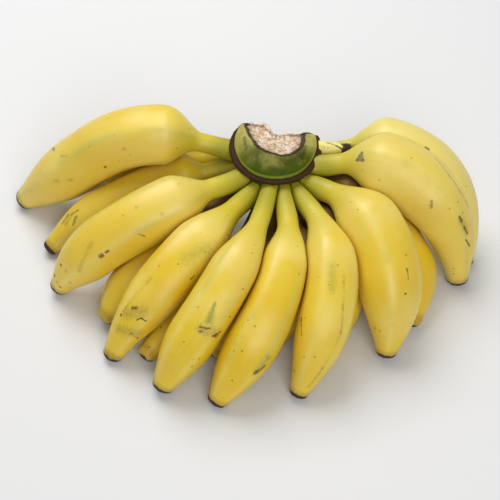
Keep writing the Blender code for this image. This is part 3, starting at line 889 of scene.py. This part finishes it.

# %% [markdown]
# Ripe peel
#
# The peel is not one yellow. It is golden where no highlight is painted, green on the stalk and
# faintly green along its ridges, with soft clouds between. Painted highlights make the shoulders
# and the crests of the ridges pale and the most brightly lit fruits paler all over, and painted
# shade turns the hidden stalks of the lower fruits dark brown. Tiny fibres run from stalk to tip.
# Each effect is a mask, and the colours are laid over each other like glazes, from the broadest
# to the finest, with the dried flower end last.

# %% Peel material
RIDGE_SHARPNESS = 6.0
# Painted highlight: the most brightly lit fruits get this share of pale colour all over.
FRUIT_HIGHLIGHT_SHARES = {"banana_upper_8": 0.22, "banana_lower_9": 0.50, "banana_upper_7": 0.08,
            "banana_upper_6": 0.08, "banana_upper_1": 0.12, "banana_upper_2": 0.12}
# Painted shade: these lower fruits get dark brown on the stalk and shoulder hidden under the upper
# row.
PAINTED_SHADE_FRUITS = ("banana_lower_3", "banana_lower_4", "banana_lower_5", "banana_lower_6",
               "banana_lower_7", "banana_lower_8")
CLOUD_SCALE = 38.0
FIBRE_ALONG = 5.0
FIBRE_ROUND = 90.0
SHOULDER_HIGHLIGHT_END = 0.55
PAINTED_SHADE_RUNS = (0.046, 0.030)
BROWNED = (0.008, 0.003)
CHARRED = (0.0034, 0.0026)
FACE_CHARRED = (0.0030, 0.0005)
Finish = namedtuple("Finish", "colour strength core mottle")
FINISHES = {
    "dark": Finish(screen_colour(50, 34, 20), 0.90, 0.35, 0.2),
    "brown": Finish(screen_colour(120, 80, 34), 0.75, 0.10, 0.3),
    "rust": Finish(screen_colour(92, 48, 18), 0.92, 0.25, 0.20),
    "grey": Finish(screen_colour(120, 108, 92), 0.85, 0.25, 0.15),
    "green": Finish(screen_colour(136, 152, 36), 0.80, 0.0, 0.1),
    "haze": Finish(screen_colour(166, 162, 50), 0.50, 0.0, 0.35),
    "deep": Finish(screen_colour(62, 78, 22), 0.75, 0.20, 0.3),
    "shade": Finish(screen_colour(48, 52, 12), 0.60, 0.0, 0.1),
    "smudge": Finish(screen_colour(146, 122, 46), 0.55, 0.0, 0.35),
    "olive": Finish(screen_colour(160, 134, 50), 0.55, 0.0, 0.4),
}
Mark = namedtuple("Mark", "kind start stop width ragged taper", defaults=(1.0, 0.0))


def lay_marks(tree, position, colour, marks):
    """Lay strokes over a colour. Returns the new colour and where the surface is worn."""
    worn = 0.0
    for mark in marks:
        finish = FINISHES[mark.kind]
        mask = use_group(tree, stroke_group, {
            "Position": position, "From": tuple(mark.start), "To": tuple(mark.stop),
            "Width": mark.width, "Ragged": mark.ragged, "Taper": mark.taper,
            "Core": finish.core, "Mottle": finish.mottle})
        mask = maths(tree, "MULTIPLY", mask, finish.strength)
        colour = mix_colours(tree, mask, colour, finish.colour)
        worn = maths(tree, "MAXIMUM", worn, mask)
    return colour, worn


def peel_material(name, fruit, highlight_share, share_at, marks, random):
    """Peel of one fruit, with a share of pale colour over all of it as painted highlight. share_at
    turns a run along the fruit into the U of its map, and marks are strokes in the scene's own
    coordinates."""
    material, tree, shader, position, place, shift = new_material(name + "_peel", random)
    uv, along, around = map_shares(tree)
    shoulder = fruit.shoulder_start + fruit.shoulder_run

    turn = maths(tree, "MULTIPLY_ADD", around, 2 * np.pi * RIDGES,
                 -RIDGES * np.radians(fruit.ridge_turn))
    crest = maths(tree, "MULTIPLY_ADD", maths(tree, "COSINE", turn), 0.5, 0.5)
    crest = maths(tree, "POWER", crest, RIDGE_SHARPNESS)
    fibre_place = vector_maths(tree, "MULTIPLY", uv, (FIBRE_ALONG, FIBRE_ROUND, 1.0))
    fibre = noise(tree, vector_maths(tree, "ADD", fibre_place, shift), 1.0, 4.0)

    cloud = use_group(tree, patch_group, {
        "Position": place, "Scale": CLOUD_SCALE, "Low": 0.38, "High": 0.68})
    colour = glaze(tree, PEEL_YELLOW, PEEL_GOLD, cloud, 0.35)
    pale = use_group(tree, patch_group, {
        "Position": place, "Scale": CLOUD_SCALE * 0.6, "Low": 0.45, "High": 0.75})
    colour = glaze(tree, colour, PEEL_PALE_AND_HIGHLIGHT, pale, 0.30)
    # Painted highlight over the whole fruit, as much as its share says.
    colour = mix_colours(tree, highlight_share, colour, PEEL_PALE_AND_HIGHLIGHT)
    streak = maths(tree, "MULTIPLY", ramp(tree, fibre, 0.50, 0.75), 0.16)
    colour = mix_colours(tree, streak, colour, PEEL_GOLD)

    # Painted highlight: cloudy pale patches over the shoulders, from the stalk end to past the
    # middle.
    near_stalk = ramp(tree, along, share_at(SHOULDER_HIGHLIGHT_END * fruit.length), share_at(shoulder))
    shoulder_highlight = maths(tree, "MULTIPLY", near_stalk,
                  ramp(tree, noise(tree, place, CLOUD_SCALE), 0.30, 0.60))
    colour = glaze(tree, colour, PEEL_PALE_AND_HIGHLIGHT, shoulder_highlight, 0.30)
    # Painted highlight along the crests of the ridges.
    colour = glaze(tree, colour, PEEL_PALE_AND_HIGHLIGHT, crest, 0.20)

    green_ridge = maths(tree, "MULTIPLY", crest, use_group(tree, patch_group, {
        "Position": place, "Scale": CLOUD_SCALE * 0.8, "Low": 0.42, "High": 0.66}))
    colour = glaze(tree, colour, RIDGE_GREEN, green_ridge, 0.45)

    wander = maths(tree, "MULTIPLY_ADD", noise(tree, place, 60.0), 0.08, -0.04)
    stalk_along = maths(tree, "ADD", along, wander)
    lime = ramp(tree, stalk_along, share_at(shoulder), share_at(0.35 * shoulder))
    colour = glaze(tree, colour, STALK_LIME, lime, 0.75)
    green = ramp(tree, stalk_along, share_at(0.55 * shoulder), share_at(0.002))
    colour = glaze(tree, colour, STALK_GREEN, green, 0.80)

    # Painted shade: the stalk and shoulder of each of these lower fruits go dark brown.
    if name in PAINTED_SHADE_FRUITS:
        painted_shade = ramp(tree, stalk_along, share_at(PAINTED_SHADE_RUNS[0]), share_at(PAINTED_SHADE_RUNS[1]))
        colour = glaze(tree, colour, PAINTED_SHADE_BROWN, painted_shade, 0.9)

    specks = use_group(tree, speck_group, {
        "Position": place, "Cells": 260.0, "Share": 0.11, "Size": 0.24})
    colour = glaze(tree, colour, SPECK_BROWN, specks, 0.55)

    colour, worn = lay_marks(tree, position, colour, marks)
    # The painted shade is made as rough as worn peel, so that it shows no glint.
    if name in PAINTED_SHADE_FRUITS:
        worn = maths(tree, "MAXIMUM", worn, painted_shade)

    edge = maths(tree, "MULTIPLY_ADD", noise(tree, place, 420.0), 0.012, -0.006)
    dry_along = maths(tree, "ADD", along, edge)
    near_tip = ramp(tree, dry_along, *(share_at(fruit.length - left) for left in BROWNED))
    colour = glaze(tree, colour, SPECK_BROWN, near_tip, 0.45)
    dried = ramp(tree, dry_along, *(share_at(fruit.length - left) for left in CHARRED))
    if name in PAINTED_SHADE_FRUITS:
        low = float(lines[fruit].points[-1][2])
        height = add_node(tree, "ShaderNodeSeparateXYZ", {0: position}).outputs[2]
        height = maths(tree, "MULTIPLY_ADD", noise(tree, place, 500.0), 0.004, height)
        underside = ramp(tree, height, *(low + rise for rise in FACE_CHARRED))
        dried = maths(tree, "MULTIPLY", dried, underside)
    char = mix_colours(tree, noise(tree, place, 500.0), TIP_BLACK, TIP_BROWN)
    colour = mix_colours(tree, dried, colour, char)
    tree.links.new(colour, shader.inputs["Base Color"])

    sheen = maths(tree, "MULTIPLY_ADD", noise(tree, place, 90.0), 0.16, 0.32)
    sheen = maths(tree, "ADD", sheen, maths(tree, "MULTIPLY", worn, 0.25))
    sheen = maths(tree, "ADD", sheen, maths(tree, "MULTIPLY", green, 0.20))
    sheen = maths(tree, "MAXIMUM", sheen, maths(tree, "MULTIPLY", dried, 0.9))
    tree.links.new(sheen, shader.inputs["Roughness"])
    shader.inputs["Coat Weight"].default_value = 0.12
    shader.inputs["Coat Roughness"].default_value = 0.42

    fine = maths(tree, "MULTIPLY", fibre, 0.5)
    fine = maths(tree, "ADD", fine, maths(tree, "MULTIPLY", noise(tree, place, 900.0), 0.25))
    crust = maths(tree, "MULTIPLY", noise(tree, place, 1400.0, 5.0), dried)
    height = maths(tree, "MULTIPLY_ADD", crust, 3.0, fine)
    height = maths(tree, "SUBTRACT", height, maths(tree, "MULTIPLY", worn, 0.4))
    emboss(tree, shader, 0.25, height)
    return material


print("kinds of mark:", ", ".join(FINISHES))

# %% [markdown]
# The crown's rind, scar and flesh
#
# Three finishes meet on the crown, so its material is laid out by the turn round it and by the
# two distances that were stored with the mesh. The rind is olive with lime and deep green clouds,
# the scar is a dark crust, and the cut flesh is tan with brown grains and a dark dried edge. Noise
# is added to each distance before it is compared, which makes the borders ragged.

# %% Crown material
def crown_material(marks, random):
    """Rind, scar and cut flesh of the crown in one material."""
    material, tree, shader, position, place, _ = new_material("crown_rind_and_flesh", random)
    from_scar = add_node(tree, "ShaderNodeAttribute", attribute_name="from_scar").outputs["Fac"]
    past_edge = add_node(tree, "ShaderNodeAttribute", attribute_name="past_edge").outputs["Fac"]
    wander = maths(tree, "MULTIPLY_ADD", noise(tree, place, 650.0), 0.0016, -0.0008)
    off_scar = maths(tree, "MULTIPLY_ADD", wander, 0.6, maths(tree, "SUBTRACT", from_scar, 0.0004))
    off_scar = maths(tree, "ABSOLUTE", off_scar)

    around = map_shares(tree)[2]
    off_front = maths(tree, "ABSOLUTE", maths(tree, "SUBTRACT", around, 0.50))
    front = ramp(tree, off_front, FRONT_END / (2 * np.pi), FRONT_FULL / (2 * np.pi))
    cloud = use_group(tree, patch_group, {
        "Position": place, "Scale": 110.0, "Low": 0.40, "High": 0.66})
    horn = ramp(tree, off_front, 0.14, 0.27)
    lime = maths(tree, "MAXIMUM", maths(tree, "MULTIPLY", cloud, 0.25),
                 maths(tree, "MULTIPLY", horn, maths(tree, "MULTIPLY_ADD", cloud, 0.4, 0.6)))
    colour = mix_colours(tree, lime, RIND_OLIVE, RIND_LIME)
    low = ramp(tree, from_scar, 0.0110, 0.0050)
    deep = maths(tree, "MULTIPLY", ramp(tree, off_front, 0.20, 0.08), low)
    colour = mix_colours(tree, deep, colour, RIND_DEEP)
    ring_top = maths(tree, "MULTIPLY_ADD", front, -RING_NARROWING, 0.0040)
    past_ring = maths(tree, "SUBTRACT", from_scar, ring_top)
    line = ramp(tree, maths(tree, "ABSOLUTE", maths(tree, "SUBTRACT", past_ring, 0.0010)),
                0.0012, 0.0004)
    colour = glaze(tree, colour, RIND_LINE, line, 0.6)
    colour, _ = lay_marks(tree, position, colour, marks)

    low_side = ramp(tree, off_scar, 0.0032, 0.0027)
    above = ramp(tree, from_scar, -0.0002, 0.0002)
    under_ring = ramp(tree, maths(tree, "ADD", past_ring, wander), 0.0002, -0.0003)
    scar = maths(tree, "MULTIPLY", maths(tree, "MAXIMUM", low_side, above), under_ring)
    rim = ramp(tree, maths(tree, "ABSOLUTE", past_ring), 0.0011, 0.0004)
    crust = mix_colours(tree, noise(tree, place, 1100.0), SCAR_DARK, SCAR_PURPLE)
    crust = glaze(tree, crust, SCAR_DARK, rim, 0.7)
    colour = mix_colours(tree, scar, colour, crust)

    ragged = maths(tree, "ADD", past_edge, wander)
    flesh = ramp(tree, ragged, 0.0004, 0.0012)
    grains = add_node(tree, "ShaderNodeTexVoronoi", {"Vector": place, "Scale": 1250.0})
    lucky = add_node(tree, "ShaderNodeSeparateColor", {0: grains.outputs["Color"]}).outputs[0]
    tan = mix_colours(tree, ramp(tree, noise(tree, place, 420.0), 0.35, 0.65),
                      FLESH_TAN, FLESH_PALE)
    dark_grain = maths(tree, "MULTIPLY", ramp(tree, lucky, 0.50, 0.66),
                       ramp(tree, grains.outputs["Distance"], 0.55, 0.25))
    tan = glaze(tree, tan, GRAIN_BROWN, dark_grain, 0.8)
    dry = ramp(tree, ragged, 0.0075, 0.0010)
    tan = mix_colours(tree, maths(tree, "MULTIPLY", dry, maths(
        tree, "MULTIPLY", noise(tree, place, 700.0), 0.9)), tan, GRAIN_BROWN)
    colour = mix_colours(tree, flesh, colour, tan)
    off_edge = maths(tree, "ABSOLUTE", maths(tree, "SUBTRACT", ragged, 0.0003))
    rim = ramp(tree, off_edge, 0.0021, 0.0010)
    border = mix_colours(tree, noise(tree, place, 900.0), SCAR_DARK, EDGE_PURPLE)
    colour = glaze(tree, colour, border, rim, 0.9)
    tree.links.new(colour, shader.inputs["Base Color"])

    dull = maths(tree, "MAXIMUM", maths(tree, "MAXIMUM", flesh, scar), rim)
    rough = maths(tree, "MULTIPLY_ADD", dull, 0.38, 0.50)
    tree.links.new(rough, shader.inputs["Roughness"])
    shader.inputs["Specular IOR Level"].default_value = 0.12
    height = maths(tree, "MULTIPLY", noise(tree, place, 1500.0, 5.0), dull)
    height = maths(tree, "MULTIPLY_ADD", height, 2.5, noise(tree, place, 500.0))
    pits = maths(tree, "MULTIPLY", grains.outputs["Distance"], flesh)
    height = maths(tree, "MULTIPLY_ADD", pits, -2.0, height)
    emboss(tree, shader, 0.5, height)
    return material


print("crown colours:", RIND_OLIVE[:3], FLESH_TAN[:3])

# %% [markdown]
# The stub of a lost fruit
#
# One stalk at the right never bore a fruit, or lost it early. Its skin dried pale yellow and its
# end tore off and went black. The material is the peel's colours with the charred end laid over
# it, and a dark line along the top where the skin split.

# %% Stub material
STUB_CHARRED = (0.0142, 0.0152)


def stub_material(share_at, marks, random):
    """Pale dried stalk skin with a black torn end."""
    material, tree, shader, position, place, _ = new_material("stub_skin", random)
    along = map_shares(tree)[1]
    soft = ramp(tree, noise(tree, place, 160.0), 0.35, 0.65)
    colour = mix_colours(tree, maths(tree, "MULTIPLY_ADD", soft, 0.4, 0.55), STALK_LIME, PEEL_PALE_AND_HIGHLIGHT)
    colour, _ = lay_marks(tree, position, colour, marks)
    edge = maths(tree, "MULTIPLY_ADD", noise(tree, place, 500.0), 0.20, -0.10)
    torn = ramp(tree, maths(tree, "ADD", along, edge), *map(share_at, STUB_CHARRED))
    char = mix_colours(tree, noise(tree, place, 900.0), TIP_BLACK, TIP_BROWN)
    colour = mix_colours(tree, torn, colour, char)
    tree.links.new(colour, shader.inputs["Base Color"])
    rough = maths(tree, "MULTIPLY_ADD", torn, 0.40, 0.45)
    tree.links.new(rough, shader.inputs["Roughness"])
    height = maths(tree, "MULTIPLY", noise(tree, place, 1200.0, 5.0), torn)
    height = maths(tree, "MULTIPLY_ADD", height, 3.0, noise(tree, place, 400.0))
    emboss(tree, shader, 0.4, height)
    return material


print("stub is", 1000 * BARE_STALK.length, "mm long")

# %% [markdown]
# Marks
#
# Dots, bruises and scratches are what tell one real fruit from another. A mark is written as its
# kind, its half width in millimetres and one or two pixels of the photograph, and some add how
# ragged the edge is and how much the stroke narrows. A ray through each
# pixel finds the place on the skin, so a mark stays on its fruit from every side.

# %% Marks on the skins
MM = 0.001
MARKS = {
    "banana_upper_1": (
        ("dark", 1.2, (105, 167)), ("olive", 2.4, (55, 181, 58, 181)),
        ("olive", 2.2, (69, 180, 72, 180)), ("olive", 2.0, (123.5, 149, 125, 149)),
        ("olive", 1.8, (61, 156, 66, 156)), ("brown", 0.9, (130, 155)), ("brown", 0.8, (89, 147)),
        ("brown", 0.8, (119, 161)), ("brown", 0.8, (108, 118)), ("grey", 1.4, (53, 148, 54, 150)),
    ),
    "banana_upper_2": (
        ("rust", 2.2, (100.5, 256.5, 102, 255.5), 0.8),
        ("rust", 1.2, (106, 252.5, 108.5, 251), 1.4),
        ("rust", 1.7, (61, 265), 0.9),
        ("rust", 1.9, (54.5, 275.5), 1.2), ("rust", 1.7, (60, 287), 1.4),
        ("brown", 1.3, (57, 282)), ("brown", 1.1, (70.5, 282.5)),
        ("olive", 2.2, (66, 271)), ("olive", 2.0, (70, 283)), ("olive", 2.6, (92, 243, 79, 271)),
        ("brown", 0.9, (139, 234, 145, 236.5)), ("brown", 0.9, (179, 184)),
        ("olive", 2.0, (162, 214)), ("olive", 2.0, (136, 207.5)),
    ),
    "banana_upper_3": (
        ("brown", 0.9, (178, 264)), ("brown", 0.9, (159, 266)), ("brown", 0.9, (205, 252)),
        ("brown", 0.9, (228, 235)), ("dark", 0.8, (191, 279, 194.5, 275), 1.6, 0.6),
        ("rust", 1.6, (133, 308, 136, 308), 1.6), ("rust", 1.4, (121, 315), 1.4),
        ("brown", 1.2, (142, 318.6)), ("dark", 0.6, (137, 320, 141, 318), 1.5),
        ("dark", 0.6, (141, 318, 146, 321), 1.5), ("dark", 0.9, (131, 333.5, 138, 338), 1.5),
        ("smudge", 6.0, (127, 314, 143, 311), 1.2), ("smudge", 5.5, (119, 329, 137, 333), 1.2),
        ("smudge", 5.0, (106, 352, 114, 357), 0.8), ("haze", 7.0, (186, 258, 207, 249), 1.2),
        ("olive", 1.8, (151, 278, 124, 311), 1.5),
    ),
    "banana_upper_4": (
        ("green", 4.2, (209, 321, 215, 303), 0.8, 0.65), ("brown", 1.0, (198, 307)),
        ("rust", 1.1, (200, 327, 210, 329), 1.8), ("rust", 1.1, (200, 331, 217, 336), 1.8),
        ("smudge", 5.0, (201, 329, 217, 334), 1.2), ("rust", 1.0, (213, 336, 220, 332), 1.8),
        ("dark", 0.9, (230, 317)),
        ("brown", 1.1, (199, 359)), ("brown", 1.1, (192, 366.5)), ("brown", 1.0, (184, 342)),
        ("brown", 0.9, (252, 253)), ("brown", 0.9, (243, 289)),
    ),
    "banana_upper_5": (
        ("smudge", 4.5, (257, 371, 268, 358), 1.2), ("rust", 1.6, (265, 366, 255, 373), 1.8),
        ("brown", 0.9, (297.6, 246)),
        ("brown", 0.9, (299, 274)), ("brown", 1.0, (234, 351)), ("brown", 1.0, (242, 351)),
        ("brown", 1.1, (232, 380.5)), ("brown", 0.9, (248, 320)), ("brown", 0.9, (255, 326)),
    ),
    "banana_upper_6": (
        ("haze", 4.2, (332, 266, 332, 290), 1.4), ("brown", 1.0, (329, 285)),
        ("brown", 1.0, (344, 282)), ("brown", 0.9, (338, 265)), ("brown", 1.0, (304, 357)),
        ("brown", 1.0, (315, 357)), ("brown", 0.9, (314, 214)),
        ("haze", 1.6, (344, 277, 343, 311), 1.5, 0.5), ("olive", 1.6, (343, 305, 341, 332)),
        ("olive", 1.6, (341, 332, 322, 369)), ("olive", 1.6, (322, 369, 308, 387)),
        ("dark", 0.8, (301.5, 318, 301.5, 336), 1.5, 0.6), ("dark", 1.0, (294, 371)),
    ),
    "banana_upper_7": (
        ("deep", 1.1, (407, 269, 408.4, 279.5), 1.2, 0.6), ("dark", 0.9, (405.5, 294), 1.4),
        ("brown", 1.1, (375, 328)), ("brown", 1.0, (380, 331)), ("brown", 1.0, (406, 255)),
    ),
    "banana_upper_8": (
        ("grey", 1.5, (361.5, 153, 357, 160), 1.2), ("grey", 1.5, (361.5, 153, 363, 160), 1.2),
        ("grey", 1.5, (356.5, 160, 363.5, 160), 1.2), ("grey", 1.8, (360.3, 157.5)),
        ("brown", 1.3, (431.5, 201, 431.5, 208), 1.4, 0.4), ("smudge", 2.6, (431, 206)),
        ("brown", 0.9, (458, 202)),
        ("brown", 1.0, (462.5, 213)), ("brown", 0.9, (453.5, 268.5)), ("brown", 1.0, (453.7, 274)),
        ("brown", 0.8, (379, 180)), ("brown", 0.8, (362.5, 171)),
        ("smudge", 3.6, (461, 219, 467, 232), 1.2), ("rust", 1.5, (459.5, 217, 461.5, 221), 1.3),
        ("rust", 1.2, (464, 227, 467, 233), 1.3), ("dark", 0.9, (466, 240, 469.6, 246), 1.2),
        ("olive", 1.8, (417, 144, 436, 159), 1.4), ("olive", 1.8, (436, 159, 449, 175), 1.4),
        ("olive", 1.8, (449, 175, 459.5, 191), 1.4), ("olive", 1.8, (459.5, 191, 468, 206), 1.4),
        ("olive", 1.8, (468, 206, 473, 223), 1.4),
    ),
    "banana_lower_9": (("dark", 0.8, (425.5, 147, 429, 149.5), 1.3),),
    "banana_lower_2": (
        ("deep", 1.3, (68, 215, 62, 224), 1.4, 0.4), ("deep", 1.0, (78, 210, 70, 216), 1.4, 0.5),
        ("deep", 1.7, (76, 217, 73, 225), 1.2, 0.3), ("smudge", 2.6, (72, 214, 66, 224), 1.2),
    ),
    "banana_lower_3": (
        ("dark", 0.8, (104, 280, 110.5, 276), 1.8, 0.3),
        ("dark", 0.8, (109, 279, 105.4, 291), 1.8, 0.5),
    ),
    "banana_lower_4": (("brown", 1.1, (161, 327)), ("brown", 1.1, (149, 347))),
    "crown": (
        ("shade", 2.0, (244, 138, 246, 148), 1.6), ("shade", 4.2, (289, 163, 301, 157), 1.4),
        ("shade", 3.2, (302, 157, 306, 146), 1.4, 0.4), ("shade", 3.4, (256, 157, 259, 166), 1.4),
        ("shade", 3.0, (270, 168, 283, 171), 1.4),
    ),
    "bare_stalk": (
        ("dark", 0.6, (327, 142.7, 337, 146), 1.2), ("dark", 0.9, (337, 146, 343, 149.5), 1.2),
        ("brown", 0.5, (324, 147, 324.5, 149)), ("brown", 0.5, (327, 148, 329, 147.5)),
    ),
}


def place_marks(node, mesh):
    """Turn the pixel strokes of a node into strokes between two points of its skin."""
    tree = BVHTree.FromPolygons([vertex.co for vertex in mesh.vertices],
                                [face.vertices for face in mesh.polygons])
    placed = []
    for kind, width, pixels, *rest in MARKS.get(node, ()):
        hits = [tree.ray_cast(Vector(eye), Vector(pixel_ray(pixel)))[0]
                for pixel in (pixels[:2], pixels[-2:])]
        if None in hits:
            print("a mark misses", node, pixels)
            continue
        placed.append(Mark(kind, hits[0], hits[1], width * MM, *rest))
    return placed


print("marks:", sum(len(marks) for marks in MARKS.values()))

# %% [markdown]
# Making the skins
#
# Each fruit gets its own skin, its own random ripples and its own material. The crown's mesh
# also keeps the two distances that its material reads, one value a vertex.

# %% All the skins
SEED = 17
random = np.random.default_rng(SEED)
for node, fruit in FRUITS.items():
    grid, ends, along, run = fruit_grid(fruit, random)
    skin = closed_mesh(node + "_skin", grid, ends, along)
    material = peel_material(node, fruit, FRUIT_HIGHLIGHT_SHARES.get(node, 0.0),
                             lambda at: float(np.interp(at, run, along)),
                             place_marks(node, skin), random)
    add_piece(node + "_skin", skin, material, node)
print("fruit skins:", len(FRUITS), "with", len(skin.polygons), "faces each")

grid, ends, along, from_scar, past_edge = crown_grid(random)
skin = closed_mesh("crown_skin", grid, ends, along)
for name, values in (("from_scar", from_scar), ("past_edge", past_edge)):
    values = np.concatenate([values.ravel(), values[0, :1], values[-1, :1]])
    skin.attributes.new(name, "FLOAT", "POINT").data.foreach_set("value", values)
add_piece("crown_skin", skin, crown_material(place_marks("crown", skin), random),
          "crown")
print("crown skin faces:", len(skin.polygons))

grid, ends, along, run = fruit_grid(BARE_STALK, random)
skin = closed_mesh("bare_stalk_skin", grid, ends, along)
material = stub_material(lambda at: float(np.interp(at, run, along)),
                         place_marks("bare_stalk", skin), random)
add_piece("bare_stalk_skin", skin, material, "bare_stalk")
print("stub skin faces:", len(skin.polygons))

# %% [markdown]
# The table and the light
#
# The photograph is lit by large soft lamps from above, so the shoulders of the fruits are pale
# and the hollows between them go brown. One wide lamp overhead, a weaker one in front and a pale
# world give part of that, on a plain pale table, and painted highlight and painted shade in the
# peel give the rest.

# %% Stage
TABLE_SIZE = 4.0
TABLE_DROP = 0.0001
TABLE_PAINT = (0.8, 0.8, 0.8, 1)
TABLE_ROUGHNESS = 0.9
LAMP_SIZE = 0.80
LAMP_AIM = (0.0, 0.0, 0.04)
WORLD_STRENGTH = 0.30
half = TABLE_SIZE / 2
table_mesh = bpy.data.meshes.new("table")
table_mesh.from_pydata([(-half, -half, -TABLE_DROP), (half, -half, -TABLE_DROP),
                        (half, half, -TABLE_DROP), (-half, half, -TABLE_DROP)], [], [(0, 1, 2, 3)])
table = bpy.data.objects.new("table", table_mesh)
bpy.context.collection.objects.link(table)
table_paint = bpy.data.materials.new("table_paint")
table_paint.use_nodes = True
table_shader = table_paint.node_tree.nodes["Principled BSDF"]
table_shader.inputs["Base Color"].default_value = TABLE_PAINT
table_shader.inputs["Roughness"].default_value = TABLE_ROUGHNESS
table_mesh.materials.append(table_paint)


def soft_lamp(name, place, size, watts, aim):
    """A square lamp that faces a point."""
    lamp = bpy.data.objects.new(name, bpy.data.lights.new(name, "AREA"))
    lamp.data.shape = "SQUARE"
    lamp.data.size = size
    lamp.data.energy = watts
    lamp.location = place
    lamp.rotation_euler = (Vector(aim) - Vector(place)).to_track_quat("-Z", "Y").to_euler()
    bpy.context.collection.objects.link(lamp)


soft_lamp("overhead_lamp", (-0.20, 0.55, 1.00), LAMP_SIZE, 9.6, LAMP_AIM)
soft_lamp("front_lamp", (0.25, -1.00, 0.90), LAMP_SIZE, 7.0, LAMP_AIM)
world = bpy.data.worlds.new("pale_world")
world.use_nodes = True
world.node_tree.nodes["Background"].inputs["Color"].default_value = (1.0, 1.0, 1.0, 1.0)
world.node_tree.nodes["Background"].inputs["Strength"].default_value = WORLD_STRENGTH
bpy.context.scene.world = world
bpy.context.scene.view_settings.view_transform = "Standard"
print("lamps: 2, world strength", WORLD_STRENGTH)
